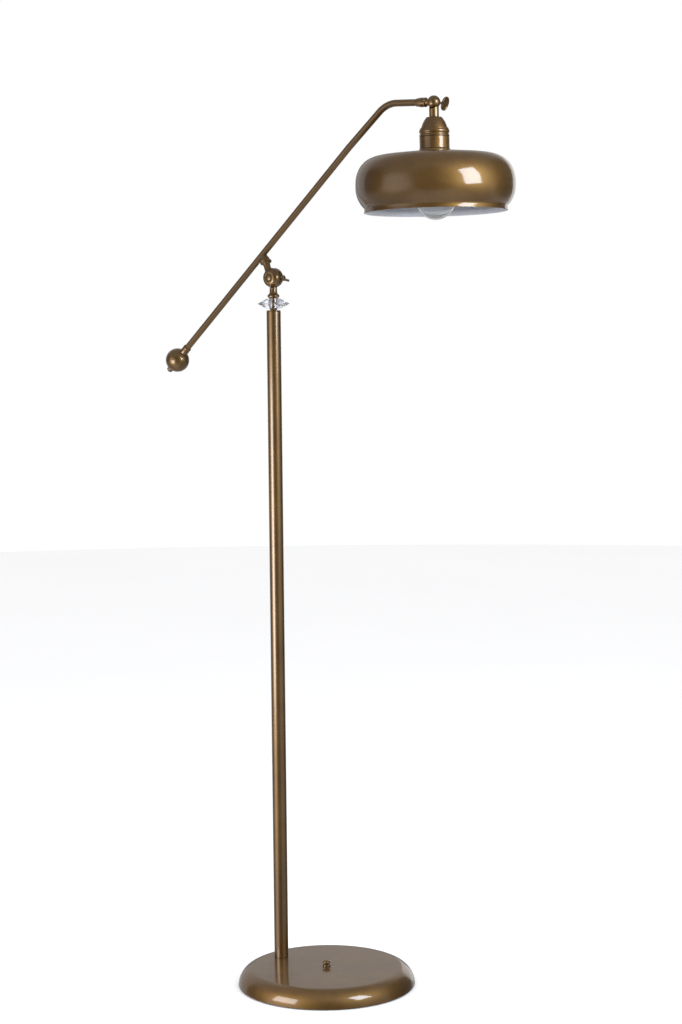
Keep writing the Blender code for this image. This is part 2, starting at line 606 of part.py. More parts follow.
def make_arm_tip(tip_axis):
    """Ferrule on the tube's end and the arm's half of the ball joint."""
    ferrule = turned("arm_ferrule", [
        (3.2 * MM, 14.5 * MM), (6.4 * MM, 14.5 * MM), (7.6 * MM, 15.4 * MM), (7.9 * MM, 17.2 * MM),
        (7.2 * MM, 18.6 * MM), (7.2 * MM, 20.2 * MM), (7.9 * MM, 21.4 * MM), (7.9 * MM, 24 * MM),
        (6.6 * MM, 34 * MM), (6.0 * MM, 34 * MM), (6.0 * MM, 16.2 * MM), (3.2 * MM, 16.2 * MM)],
        "antique_brass", 24)
    place(ferrule, tip_axis)
    half = turned("head_joint_arm_half", [
        (0.0, 9.0 * MM), (2.5 * MM, 9.0 * MM), (2.5 * MM, HEAD_PART)]
        + ball_arc(HEAD_PART, HEAD_BALL), "antique_brass", 24)
    place(half, tip_axis, (0, 0, 0), (math.pi / 2, 0, 0))
    stub = rod("arm_half_stub", 5.5 * MM, 7 * MM, 14.2 * MM, "steel", 20)
    boolean(half, place(stub, tip_axis), "UNION")
    cut = rod("arm_half_cut", HEAD_CLEAR, -HEAD_PART, 20 * MM, "steel", 28)
    boolean(half, place(cut, tip_axis, (0, 0, 0), (-math.pi / 2, 0, 0)), "DIFFERENCE")


def ball_arc(low, high):
    """Outline points on the joint ball from a height to its pole."""
    start = math.degrees(math.asin(low / HEAD_BALL))
    end = math.degrees(math.asin(high / HEAD_BALL))
    return arc((0.0, 0.0), (HEAD_BALL, HEAD_BALL), start, end, 7)


def make_arm_cable(arm):
    """Internal flex from the stem, along the tube, to the head joint."""
    low, high = stem_ends()
    along = (high - low).normalized()
    start, bow, corner, tip = arm_corners()
    back = (corner - tip).normalized()
    corners = [low + along * (21 * MM), high, bow, corner, tip + back * (15 * MM)]
    cable = flex("arm_flex", rounded_path(corners, (6.0 * MM, ARM_BOW_RADIUS, ARM_BEND_RADIUS), 12.0))
    place(cable, arm)


# ---------------------------------------------------------------- lamp head


def make_head_joint(head, screw_axis):
    """The head's half of the ball joint, its friction disc and the thumb screw."""
    half = turned("head_joint_shade_half", [(2.5 * MM, HEAD_PART)]
                  + ball_arc(HEAD_PART, 10.56 * MM)[:-1] + [(2.5 * MM, 10.56 * MM)], "antique_brass", 24)
    place(half, head, (0, 0, 0), (-math.pi / 2, 0, 0))
    neck = rod("head_neck", NECK_RADIUS, NECK_BOTTOM, -6 * MM, "steel", 24)
    boolean(half, place(neck, head), "UNION")
    cut = rod("head_half_cut", HEAD_CLEAR, -20 * MM, HEAD_PART, "steel", 28)
    boolean(half, place(cut, head, (0, 0, 0), (-math.pi / 2, 0, 0)), "DIFFERENCE")
    screw_clear = rod("head_screw_clear", 2.5 * MM, -1 * MM, 20 * MM)
    boolean(half, place(screw_clear, head, (0, 0, 0), (-math.pi / 2, 0, 0)), "DIFFERENCE")
    bore = rod("head_neck_bore", NIPPLE_HOLE, NECK_BOTTOM - 5 * MM, -13.5 * MM)
    boolean(half, place(bore, head), "DIFFERENCE")
    fibre = rod("head_friction_washer", 9.5 * MM, -0.2 * MM, 0.2 * MM, "fibre", 20, 2.5 * MM)
    place(fibre, head, (0, 0, 0), (-math.pi / 2, 0, 0))

    screw = turned("head_thumb_screw", [
        (0.0, -8 * MM), (2.1 * MM, -8 * MM), (2.1 * MM, 11.3 * MM), (3.6 * MM, 11.3 * MM),
        (3.6 * MM, 13 * MM), (2.2 * MM, 14 * MM), (2.2 * MM, 24 * MM), (0.0, 24 * MM)],
        "antique_brass", 16)
    place(screw, screw_axis, (0, 0, 0), (-math.pi / 2, 0, 0))
    oval = arc((0.0, 32 * MM), (11.8 * MM, 9.3 * MM), 0, 345, 23)
    blade = plate("thumb_screw_blade", oval, 2.8 * MM, "steel")
    blade.data.transform(Matrix.Rotation(-math.pi / 2, 4, "X"))
    blade_turn = -math.radians(70.0)
    boolean(screw, place(blade, screw_axis, (0, 0, 0), (0, blade_turn, 0)), "UNION")


def make_lampholder(head):
    """Lampholder cover, its rings, and the holder inside it."""
    cap = turned("holder_cap", [(5.4 * MM, -24.6 * MM), (12.6 * MM, -24.6 * MM), (14.2 * MM, -26 * MM),
                                (18.8 * MM, -33.6 * MM), (22.0 * MM, -42.4 * MM), (22.2 * MM, -43.7 * MM),
                                (21.0 * MM, -43.7 * MM), (20.8 * MM, -42.8 * MM), (17.6 * MM, -34.2 * MM),
                                (13.3 * MM, -26.9 * MM), (5.4 * MM, -25.8 * MM)], "antique_brass", 24)
    place(cap, head)
    band = turned("holder_band", [(22.6 * MM, -42.4 * MM), (23.8 * MM, -42.8 * MM)]
                  + arc((23.2 * MM, -47.6 * MM), (1.9 * MM, 3.8 * MM), 60, -60, 3)
                  + [(24.1 * MM, -52.4 * MM), (25.0 * MM, -53.8 * MM), (24.8 * MM, -56.2 * MM),
                     (21.4 * MM, -56.2 * MM), (21.4 * MM, -44.2 * MM), (22.6 * MM, -44.2 * MM)],
                  "antique_brass", 24)
    place(band, head)
    sleeve = rod("holder_sleeve", 24.7 * MM, -75.5 * MM, -56.5 * MM, "antique_brass", 24, 23.5 * MM)
    place(sleeve, head)
    ring = turned("shade_ring", [(21.0 * MM, -80.3 * MM), (26.6 * MM, -80.3 * MM), (26.9 * MM, -79.1 * MM),
                                 (25.4 * MM, -75.8 * MM), (21.0 * MM, -75.8 * MM)], "antique_brass", 24)
    place(ring, head)
    core = turned("holder_core", [(0.0, -46 * MM), (17.5 * MM, -46 * MM), (19.5 * MM, -48 * MM),
                                  (19.5 * MM, -92 * MM), (15.2 * MM, -92 * MM), (15.2 * MM, -56 * MM),
                                  (0.0, -56 * MM)], "porcelain", 20)
    place(core, head)
    place(rod("holder_thread", 14.6 * MM, -88 * MM, -62 * MM, "steel", 24, 13.9 * MM), head)
    place(rod("holder_contact", 4.0 * MM, -62.9 * MM, -56.4 * MM, "steel", 12), head)
    clamp = rod("shade_clamp_ring", 25.0 * MM, -87.7 * MM, -82.3 * MM, "black_plastic", 24, 19.9 * MM)
    place(clamp, head)
    nipple = rod("holder_nipple", NIPPLE_RADIUS, -36 * MM, -14 * MM, "steel", 16, NIPPLE_BORE)
    place(nipple, head)
    nut, bore = hex_nut("holder_nut", 14 * MM, 5.0 * MM, -31 * MM, -27 * MM)
    place(nut, head)
    boolean(nut, place(bore, head), "DIFFERENCE")
    place(flex("holder_flex", [Vector((0, 0, -14.5 * MM)), Vector((0, 0, -45.6 * MM))]), head)


def make_shade(head):
    """Spun shade: slightly domed crown, round shoulder, waist and flared rim."""
    crown = [(SHADE_HOLE, SHADE_TOP), (45 * MM, SHADE_TOP - 1.0 * MM)]
    width, depth = SHADE_RADIUS - SHADE_CROWN, SHADE_CROWN_Z - SHADE_BELLY_Z
    power = 2.0 / SHADE_FULLNESS
    shoulder = [(SHADE_CROWN + width * math.sin(math.radians(turn)) ** power,
                 SHADE_BELLY_Z + depth * math.cos(math.radians(turn)) ** power) for turn in range(0, 90, 15)]
    under = arc((SHADE_RADIUS - 38.3 * MM, SHADE_TUCK_Z), (38.3 * MM, 42.5 * MM), 0, -48, 3)
    outer = crown + shoulder + [(SHADE_RADIUS, SHADE_BELLY_Z)] + under
    outer += [(SHADE_WAIST, SHADE_WAIST_Z), (SHADE_RIM, SHADE_RIM_Z)]
    inner = []
    for index, (radius, height) in enumerate(outer):
        before = outer[max(index - 1, 0)]
        after = outer[min(index + 1, len(outer) - 1)]
        along = Vector((after[0] - before[0], after[1] - before[1])).normalized()
        inner.append((radius + along.y * SHADE_WALL, height - along.x * SHADE_WALL))
    inner[0] = (SHADE_HOLE, SHADE_TOP - SHADE_WALL)
    inner[-1] = (SHADE_RIM - SHADE_WALL, SHADE_RIM_Z)
    place(turned("shade", outer + list(reversed(inner)), "antique_brass", 36), head)


def make_bulb(head):
    """Clear bulb: blown glass, screw cap, stem and filament."""
    neck = [(BULB_NECK, BULB_NECK_Z), (13.6 * MM, -97 * MM), (15.8 * MM, -106 * MM),
            (20.4 * MM, -119 * MM), (26.0 * MM, -133 * MM), (30.0 * MM, -144 * MM)]
    belly = arc((0.0, BULB_BELLY_Z), (BULB_RADIUS, BULB_RADIUS), 0, -90, 5)
    outer = neck + belly[:-1] + [(0.0, BULB_BELLY_Z - BULB_RADIUS)]
    inside = BULB_RADIUS - BULB_WALL
    lining = [(radius - BULB_WALL, height) for radius, height in neck]
    inner = lining + arc((0.0, BULB_BELLY_Z), (inside, inside), 0, -90, 5)[:-1]
    inner += [(0.0, BULB_BELLY_Z - inside)]
    place(turned("bulb_glass", outer + list(reversed(inner)), "bulb_glass", 20), head)
    cap = turned("bulb_cap", [
        (0.0, -63.3 * MM), (4.6 * MM, -63.3 * MM), (5.4 * MM, -65 * MM), (12.6 * MM, -67.5 * MM),
        (13.3 * MM, -70 * MM), (13.3 * MM, -90.3 * MM), (12.2 * MM, -90.3 * MM),
        (12.2 * MM, -71 * MM), (0.0, -71 * MM)], "steel", 24)
    place(cap, head)
    stem = turned("bulb_stem", [
        (0.0, -94 * MM), (9.0 * MM, -94 * MM), (3.2 * MM, -105 * MM), (2.6 * MM, -122 * MM),
        (0.0, -124 * MM)], "bulb_glass", 12)
    place(stem, head)
    waves = 6
    span = 15 * MM
    filament_z = -150 * MM
    route = [Vector((-3.5 * MM, 0, -112 * MM)), Vector((-span, 0, filament_z))]
    for index in range(1, 2 * waves):
        sway = 3.0 * MM if index % 2 else 0.0
        route.append(Vector((-span + index * span / waves, 0, filament_z - sway)))
    route += [Vector((span, 0, filament_z)), Vector((3.5 * MM, 0, -112 * MM))]
    place(flex("bulb_filament", route, 0.35 * MM, "tungsten"), head)


def main():
    """Build the whole lamp."""
    clear_scene()
    button_axis = empty("button_axis")
    swivel = empty("swivel_axis", None, (COLUMN_X, 0, 0))
    arm = empty("arm_pivot", swivel, (0, 0, KNUCKLE_Z), (0, -ARM_SLOPE, 0))
    wing_axis = empty("wing_nut_axis", swivel, (0, 0, KNUCKLE_Z))
    tip_turn = math.pi / 2 - ARM_TURN
    tip = arm_corners()[-1]
    tip_axis = empty("arm_tip_axis", arm, tip, (0, -tip_turn, 0))
    head = empty("head_pivot", arm, tip, (0, ARM_SLOPE - HEAD_TILT, 0))
    screw_axis = empty("thumb_screw_axis", arm, tip, (0, ARM_SLOPE, 0))
    make_base_cover()
    make_base_weight()
    make_base_fittings()
    make_foot_switch(button_axis)
    make_column()
    make_crystal()
    make_base_cables()
    make_swivel_collar(swivel)
    make_knuckle(swivel, arm, wing_axis)
    make_arm_stem(arm)
    make_arm_tube(arm)
    make_counterweight(arm)
    make_arm_tip(tip_axis)
    make_arm_cable(arm)
    make_head_joint(head, screw_axis)
    make_lampholder(head)
    make_shade(head)
    make_bulb(head)


main()
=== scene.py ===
"""Adjustable arm floor lamp in antique bronze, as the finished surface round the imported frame.

Each sub-assembly of the lamp is a class that keeps its sizes, in millimetres, and makes its own
pieces. Places come from the frame: the nodes' boxes and the joints' positions.
"""
import json
import logging
import math
from collections.abc import Callable, Iterator, Sequence
from contextlib import contextmanager
from dataclasses import dataclass, field
from enum import Enum
from functools import cache

import bpy
from bpy.types import Material, MeshVertex, NodeSocket, NodeTree, Object, ShaderNode
from mathutils import Matrix, Vector


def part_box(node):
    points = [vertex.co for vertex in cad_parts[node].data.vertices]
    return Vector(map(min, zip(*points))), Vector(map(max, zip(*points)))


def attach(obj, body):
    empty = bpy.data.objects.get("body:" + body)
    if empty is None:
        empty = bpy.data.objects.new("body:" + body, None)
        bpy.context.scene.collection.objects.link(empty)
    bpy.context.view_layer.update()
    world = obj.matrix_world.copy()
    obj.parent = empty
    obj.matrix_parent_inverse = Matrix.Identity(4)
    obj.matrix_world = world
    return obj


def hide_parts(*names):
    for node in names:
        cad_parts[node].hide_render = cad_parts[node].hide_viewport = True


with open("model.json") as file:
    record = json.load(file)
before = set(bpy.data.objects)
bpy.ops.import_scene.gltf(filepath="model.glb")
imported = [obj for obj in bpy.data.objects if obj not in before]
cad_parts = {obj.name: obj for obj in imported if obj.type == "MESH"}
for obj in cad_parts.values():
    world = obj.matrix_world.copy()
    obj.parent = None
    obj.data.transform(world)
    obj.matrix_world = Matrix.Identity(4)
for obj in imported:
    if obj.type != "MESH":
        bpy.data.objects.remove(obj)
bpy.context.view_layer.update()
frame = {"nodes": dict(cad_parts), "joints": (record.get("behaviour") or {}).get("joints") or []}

LOG = logging.getLogger("floor_lamp")
MM = 0.001
# Vertices nearer than this, in mm, are one.
SEAM = 0.002

# A rounded edge is followed by one more ring this many times as far from the corner, so that the
# flat beside it is shaded flat.
HOLD = 1.2

Point = tuple[float, float]
Outline = list[Point]

# --- materials


def linear(code: str) -> tuple[float, float, float, float]:
    """Turn an sRGB hex colour into linear light.

    Args:
        code: The colour as six hex digits after a #.

    Returns:
        Red, green, blue and an alpha of 1.
    """
    shares = [int(code[start:start + 2], 16) / 255 for start in (1, 3, 5)]
    red, green, blue = (
        share / 12.92 if share <= 0.04045 else ((share + 0.055) / 1.055) ** 2.4 for share in shares
    )
    return red, green, blue, 1.0


def per_metre(size: float) -> float:
    """The texture scale at which a pattern repeats about every size mm."""
    return 1.0 / (size * MM)


def add_node(tree: NodeTree, kind: str, feeds: dict | None = None, **settings: object) -> ShaderNode:
    """Add one node, with its settings, its numbers and its links.

    Args:
        tree: The node tree it goes in.
        kind: The node's Blender type.
        feeds: For each input, a number, a colour or the socket that is linked to it.
        settings: The node's own properties.

    Returns:
        The new node.
    """
    node = tree.nodes.new(kind)
    for key, value in settings.items():
        setattr(node, key, value)
    for key, value in (feeds or {}).items():
        socket = node.inputs[key]
        if isinstance(value, NodeSocket):
            tree.links.new(value, socket)
        else:
            socket.default_value = value
    return node


@dataclass(frozen=True)
class Finish:
    """A real material with the way its surface was made.

    Attributes:
        name: Name of the material and its process.
        dark: Colour in the hollows of the slow mottle, sRGB hex.
        light: Colour on its high places.
        roughness: Lowest and highest roughness.
        mottle: Size of the slow mottle, in mm.
        grain: Spacing of the fine surface grain, in mm.
        relief: Height of the grain, in mm.
        rubbed: Colour of edges worn bright, or nothing.
        steady: Shader inputs that are the same all over.
        slot: Name of the frame's material slot for it; not used.
    """

    name: str
    dark: str
    light: str
    roughness: tuple[float, float]
    mottle: float
    grain: float
    relief: float
    rubbed: str = ""
    steady: tuple[tuple[str, object], ...] = ()
    slot: str = ""

    @cache
    def material(self) -> Material:
        """The material, made the first time it is asked for."""
        material = bpy.data.materials.new(self.name)
        material.use_nodes = True
        self.build(material.node_tree, material.node_tree.nodes["Principled BSDF"])
        return material

    def height(self, tree: NodeTree, place: NodeSocket) -> NodeSocket:
        """The surface's fine height pattern, from 0 to 1: rounded grains."""
        return add_node(
            tree, "ShaderNodeTexNoise",
            {"Vector": place, "Scale": per_metre(self.grain), "Detail": 3.0, "Roughness": 0.55},
        ).outputs["Fac"]

    def build(self, tree: NodeTree, shader: ShaderNode) -> None:
        """Lay out the nodes: mottle to colour and roughness, grain to bump.

        Args:
            tree: The material's node tree.
            shader: Its Principled BSDF.
        """
        place = add_node(tree, "ShaderNodeTexCoord").outputs["Object"]
        mottle = add_node(
            tree, "ShaderNodeTexNoise",
            {"Vector": place, "Scale": per_metre(self.mottle), "Detail": 4.0, "Roughness": 0.6},
        ).outputs["Fac"]
        colours = add_node(tree, "ShaderNodeValToRGB", {"Fac": mottle})
        low, high = colours.color_ramp.elements
        low.position, low.color = 0.32, linear(self.dark)
        high.position, high.color = 0.68, linear(self.light)
        colour = colours.outputs["Color"]
        if self.rubbed:
            edge = add_node(
                tree, "ShaderNodeMapRange",
                {"Value": add_node(tree, "ShaderNodeNewGeometry").outputs["Pointiness"],
                 "From Min": 0.54, "From Max": 0.66, "To Min": 0.0, "To Max": 0.55},
            ).outputs["Result"]
            worn = add_node(
                tree, "ShaderNodeMixRGB", {"Fac": edge, "Color1": colour, "Color2": linear(self.rubbed)}
            )
            colour = worn.outputs["Color"]
        tree.links.new(colour, shader.inputs["Base Color"])
        smoothest, roughest = self.roughness
        sheen = add_node(
            tree, "ShaderNodeMapRange",
            {"Value": mottle, "From Min": 0.25, "From Max": 0.75, "To Min": smoothest, "To Max": roughest},
        ).outputs["Result"]
        tree.links.new(sheen, shader.inputs["Roughness"])
        bump = add_node(
            tree, "ShaderNodeBump",
            {"Height": self.height(tree, place), "Strength": 1.0, "Distance": self.relief * MM},
        ).outputs["Normal"]
        tree.links.new(bump, shader.inputs["Normal"])
        for key, value in self.steady:
            shader.inputs[key].default_value = value


@dataclass(frozen=True)
class FibreFinish(Finish):
    """A finish whose grain is a mat of short crossed fibres, as in felt and vulcanised paper."""

    def height(self, tree: NodeTree, place: NodeSocket) -> NodeSocket:
        """Cell walls of stretched cells, which read as strands."""
        stretched = add_node(tree, "ShaderNodeMapping", {"Vector": place, "Scale": (1.0, 0.35, 1.0)})
        return add_node(
            tree, "ShaderNodeTexVoronoi",
            {"Vector": stretched.outputs["Vector"], "Scale": per_metre(self.grain)},
            feature="DISTANCE_TO_EDGE",
        ).outputs["Distance"]


def lacquer(roughness: float, index: float) -> tuple[tuple[str, object], ...]:
    """Shader inputs of a metal under clear lacquer of a given roughness and index."""
    return ("Metallic", 1.0), ("Coat Weight", 1.0), ("Coat Roughness", roughness), ("Coat IOR", index)


class Finishes(Enum):
    """The lamp's finishes."""

    # Bronze powder lacquer over brass and steel: a satin metal under a hard gloss coat, so lamps show
    # as a sharp white shape in a wide gold glow. The orange peel is drawn at 3 mm, as on sprayed lacquer.
    BRONZE = Finish(
        "bronze_lacquer_sprayed", "#815D2F", "#936E39", (0.50, 0.57), 55.0, 3.0, 0.004, "#A07E46",
        lacquer(0.11, 1.62), "antique_brass",
    )
    # The same lacquer on small turned parts, which are polished first: a tighter glow.
    BRONZE_TURNED = Finish(
        "bronze_lacquer_over_turned_brass", "#76562B", "#8E6C39", (0.42, 0.50), 18.0, 1.5, 0.002, "#AB8850",
        lacquer(0.09, 1.62), "antique_brass",
    )
    # The same lacquer rubbed satin on the drawn tube: a paler coat that spreads the lights into soft bands.
    BRONZE_TUBE = Finish(
        "bronze_lacquer_rubbed_drawn_tube", "#7B592D", "#8D6A38", (0.42, 0.48), 70.0, 3.0, 0.003, "#A07E46",
        lacquer(0.18, 1.8), "antique_brass",
    )
    # Stoved white enamel inside the shade: eggshell gloss with a fine orange peel. Its colours are painted a
    # light grey, not white: painted shade for the dim inside of the shade.
    ENAMEL = Finish(
        "white_enamel_stoved_painted_shade_grey", "#B4B4B9", "#C0C0C5", (0.34, 0.42), 40.0, 1.2, 0.01, "",
        (("Coat Weight", 0.3), ("Coat Roughness", 0.2)),
    )
    # Lead crystal, cut and polished: clear with a faint lilac cast and a high index.
    CRYSTAL = Finish(
        "lead_crystal_cut_polished", "#F0F0FA", "#FAFAFF", (0.0, 0.02), 9.0, 4.0, 0.0005, "",
        (("Transmission Weight", 1.0), ("IOR", 1.56)), "crystal",
    )
    # Blown soda-lime glass: clear, with slow waves left by the blowing mould.
    BULB = Finish(
        "soda_lime_glass_blown", "#F4F6F6", "#FFFFFF", (0.0, 0.03), 25.0, 14.0, 0.004, "",
        (("Transmission Weight", 1.0), ("IOR", 1.5)), "bulb_glass",
    )
    # Zinc plated steel screws and nuts: bluish grey, with fine turning marks.
    STEEL = Finish(
        "steel_zinc_plated_turned", "#8C8D90", "#A9AAAC", (0.28, 0.42), 6.0, 0.5, 0.004, "#C8C8C8",
        (("Metallic", 1.0),), "steel",
    )
    # Drawn aluminium lamp cap: pale and soft, with rolling marks.
    ALUMINIUM = Finish(
        "aluminium_drawn", "#B9BBBE", "#CFD0D2", (0.3, 0.4), 8.0, 0.7, 0.005, "", (("Metallic", 1.0),),
        "steel",
    )
    # Sand cast iron, unpainted: dark, with sand grains of about 0.8 mm left in the skin.
    CAST_IRON = Finish(
        "cast_iron_sand_cast", "#2C2C2E", "#414144", (0.6, 0.8), 12.0, 0.8, 0.15, "", (("Metallic", 0.6),),
    )
    # Needled wool felt, black: fibres drawn 1.5 mm apart, coarser than real ones so that they show.
    FELT = FibreFinish(
        "wool_felt_needled", "#161616", "#232323", (0.9, 1.0), 7.0, 1.5, 0.25, "", (("Sheen Weight", 0.4),),
        "felt",
    )
    # Glazed electrical porcelain: warm white under a glassy glaze.
    PORCELAIN = Finish(
        "porcelain_glazed", "#DAD6CB", "#E8E4DA", (0.12, 0.2), 15.0, 4.0, 0.01, "", (("Coat Weight", 0.5),),
        "porcelain",
    )
    # Vulcanised fibre: reddish pressed paper.
    FIBRE = FibreFinish(
        "vulcanised_fibre_punched", "#5A2A1C", "#713826", (0.6, 0.75), 4.0, 0.6, 0.03, slot="fibre",
    )
    # Black phenolic moulding: deep gloss with faint flow mottle.
    PHENOLIC = Finish(
        "phenolic_moulded_black", "#121212", "#1C1B1A", (0.3, 0.42), 8.0, 0.9, 0.01, "",
        (("Coat Weight", 0.15),), "black_plastic",
    )
    # Extruded PVC cable jacket, off-white: dull, with drag lines.
    JACKET = Finish("pvc_jacket_extruded", "#CFCBC2", "#DBD7CE", (0.45, 0.6), 10.0, 0.8, 0.01)
    # Drawn tungsten wire: dark grey metal.
    TUNGSTEN = Finish(
        "tungsten_wire_drawn", "#6E6B68", "#85827E", (0.3, 0.45), 3.0, 0.3, 0.002, "", (("Metallic", 1.0),),
        "tungsten",
    )
    # Matt seamless paper for the studio floor.
    PAPER = Finish("seamless_paper_matt", "#F3F3F4", "#F4F4F5", (0.85, 0.95), 900.0, 2.0, 0.01)


# --- outlines


def arc(centre: Point, radii: Point, start: float, end: float, count: int) -> Outline:
    """Points of an elliptical arc.

    Args:
        centre: Radius and height of its centre.
        radii: Its half width and half height.
        start: First angle in degrees, from the outward direction.
        end: Last angle.
        count: How many steps.

    Returns:
        The points, both ends included.
    """
    angles = [math.radians(start + (end - start) * step / count) for step in range(count + 1)]
    return [(centre[0] + radii[0] * math.cos(turn), centre[1] + radii[1] * math.sin(turn)) for turn in angles]


def eased(outline: Outline, radius: float = 0.35, count: int = 3) -> Outline:
    """Round the sharp corners of an outline, as a maker breaks edges.

    Args:
        outline: Radius and height points, closed if the last is the first.
        radius: How far back from a corner the rounding starts at most, in mm.
        count: Steps in each rounding.

    Returns:
        The rounded outline, closed if the one given was.
    """
    sharp = math.radians(22.0)
    closed = outline[0] == outline[-1]
    corners = [Vector(point) for point in (outline[:-1] if closed else outline)]
    made: list[Vector] = []
    for index, corner in enumerate(corners):
        if not closed and index in (0, len(corners) - 1):
            made.append(corner)
            continue
        back = corners[index - 1] - corner
        ahead = corners[(index + 1) % len(corners)] - corner
        if back.angle(-ahead) < sharp or corner.x == 0.0:
            made.append(corner)
            continue
        reach = min(radius, back.length * 0.4, ahead.length * 0.4)
        first, last = corner + back.normalized() * reach, corner + ahead.normalized() * reach
        made.append(corner.lerp(first, HOLD))
        for step in range(count + 1):
            share = step / count
            made.append(first.lerp(corner, share).lerp(corner.lerp(last, share), share))
        made.append(corner.lerp(last, HOLD))
    points = [(point.x, point.y) for point in made]
    return points + points[:1] if closed else points


def ring(outline: Outline) -> Outline:
    """Close an outline on itself, which leaves a bore."""
    return outline + outline[:1]


def washer(bore: float, radius: float, low: float, high: float) -> Outline:
    """Closed outline of a flat ring."""
    return ring([(bore, low), (radius, low), (radius, high), (bore, high)])


# --- workshop


def deselect() -> None:
    """Leave edit mode and select nothing."""
    if bpy.context.object and bpy.context.object.mode != "OBJECT":
        bpy.ops.object.mode_set(mode="OBJECT")
    bpy.ops.object.select_all(action="DESELECT")


def take(piece: Object) -> None:
    """Make a piece the only selected one."""
    deselect()
    piece.select_set(True)
    bpy.context.view_layer.objects.active = piece


def apply_place() -> None:
    """Keep the selected piece's place, turn and scale in its mesh."""
    bpy.ops.object.transform_apply(location=True, rotation=True, scale=True)


def close_seams() -> None:
    """Merge the doubled vertices of the mesh being edited and face it outwards."""
    bpy.ops.mesh.select_all(action="SELECT")
    bpy.ops.mesh.remove_doubles(threshold=SEAM * MM)
    bpy.ops.mesh.normals_make_consistent(inside=False)


def named(name: str) -> Object:
    """Name the primitive that was just added."""
    piece = bpy.context.object
    piece.name = piece.data.name = name
    return piece


@contextmanager
def editing(piece: Object, mode: str = "VERT") -> Iterator[None]:
    """Edit a piece's mesh with nothing selected at first.

    Args:
        piece: The piece.
        mode: What selections are made of.
    """
    take(piece)
    bpy.ops.object.mode_set(mode="EDIT")
    bpy.ops.mesh.select_mode(type=mode)
    bpy.ops.mesh.select_all(action="DESELECT")
    yield
    bpy.ops.object.mode_set(mode="OBJECT")


def pick(piece: Object, test: Callable[[MeshVertex], bool]) -> None:
    """Select the vertices that pass a test, in edit mode.

    Args:
        piece: The piece being edited.
        test: Says whether a vertex is wanted.
    """
    bpy.ops.object.mode_set(mode="OBJECT")
    for vertex in piece.data.vertices:
        vertex.select = test(vertex)
    bpy.ops.object.mode_set(mode="EDIT")


def pick_faces(piece: Object, test: Callable[[bpy.types.MeshPolygon], bool]) -> None:
    """Select the faces that pass a test, in edit mode.

    Args:
        piece: The piece being edited.
        test: Says whether a face is wanted.
    """
    bpy.ops.object.mode_set(mode="OBJECT")
    for part in (piece.data.vertices, piece.data.edges):
        part.foreach_set("select", [False] * len(part))
    for face in piece.data.polygons:
        face.select = test(face)
    bpy.ops.object.mode_set(mode="EDIT")


def turned(name: str, outline: Sequence[Point], steps: int = 72) -> Object:
    """Turn an outline about Z, one ring after another, as on a lathe.

    Args:
        name: The piece's name.
        outline: Radius and height points in mm. A first or last point on the axis closes that end,
            and an outline that ends where it began is joined there.
        steps: Sides of each ring.

    Returns:
        The piece, in place round the Z axis.
    """
    points = list(outline)
    capped = points[0][0] == 0.0
    pole = points.pop(0)[1] if capped else 0.0
    radius, height = points[0]
    deselect()
    bpy.ops.mesh.primitive_circle_add(
        vertices=steps, radius=radius * MM, location=(0.0, 0.0, height * MM),
        fill_type="TRIFAN" if capped else "NOTHING",
    )
    piece = named(name)
    reach = radius * MM / 2
    with editing(piece):
        if capped and pole != height:
            pick(piece, lambda vertex: vertex.co.xy.length < reach)
            bpy.ops.transform.translate(value=(0.0, 0.0, (pole - height) * MM))
        pick(piece, lambda vertex: vertex.co.xy.length > reach)
        for (here, low), (there, high) in zip(points, points[1:]):
            bpy.ops.mesh.extrude_region_move(TRANSFORM_OT_translate={"value": (0.0, 0.0, (high - low) * MM)})
            if there == 0.0:
                bpy.ops.mesh.merge(type="CENTER")
            elif there != here:
                share = there / here
                bpy.ops.transform.resize(value=(share, share, 1.0), center_override=(0.0, 0.0, high * MM))
        close_seams()
    apply_place()
    return piece


def rod(name: str, radius: float, low: float, high: float, steps: int = 64) -> Object:
    """A straight round bar along Z with plain ends."""
    return turned(name, [(0.0, low), (radius, low), (radius, high), (0.0, high)], steps)


def settled(piece: Object, place: Matrix) -> Object:
    """Carry a piece to its place and keep the place in its mesh.

    Args:
        piece: The piece, drawn in its own frame.
        place: That frame, in the lamp's.

    Returns:
        The piece.
    """
    take(piece)
    piece.matrix_world = place @ piece.matrix_world
    apply_place()
    return piece


def modified(piece: Object, kind: str, **settings: object) -> Object:
    """Put one modifier on a piece and apply it.

    Args:
        piece: The piece.
        kind: The modifier's Blender type.
        settings: Its properties.

    Returns:
        The piece.
    """
    take(piece)
    modifier = piece.modifiers.new(kind.lower(), kind)
    for key, value in settings.items():
        setattr(modifier, key, value)
    bpy.ops.object.modifier_apply(modifier=modifier.name)
    return piece


def carved(piece: Object, tool: Object, operation: str = "DIFFERENCE") -> None:
    """Cut a piece with a tool body, or join the two, and remove the tool.

    Args:
        piece: The piece.
        tool: The tool body.
        operation: DIFFERENCE or UNION.
    """
    modified(piece, "BOOLEAN", operation=operation, solver="EXACT", object=tool)
    bpy.data.objects.remove(tool, do_unlink=True)


def bevelled(piece: Object, width: float, angle: float = 40.0, segments: int = 3) -> Object:
    """Round a piece's sharp edges.

    Args:
        piece: The piece.
        width: Width of the rounding, in mm.
        angle: Sharpest turn that is left alone, in degrees.
        segments: Steps in the rounding.

    Returns:
        The piece.
    """
    return modified(
        piece, "BEVEL", width=width * MM, segments=segments, limit_method="ANGLE",
        angle_limit=math.radians(angle),
    )


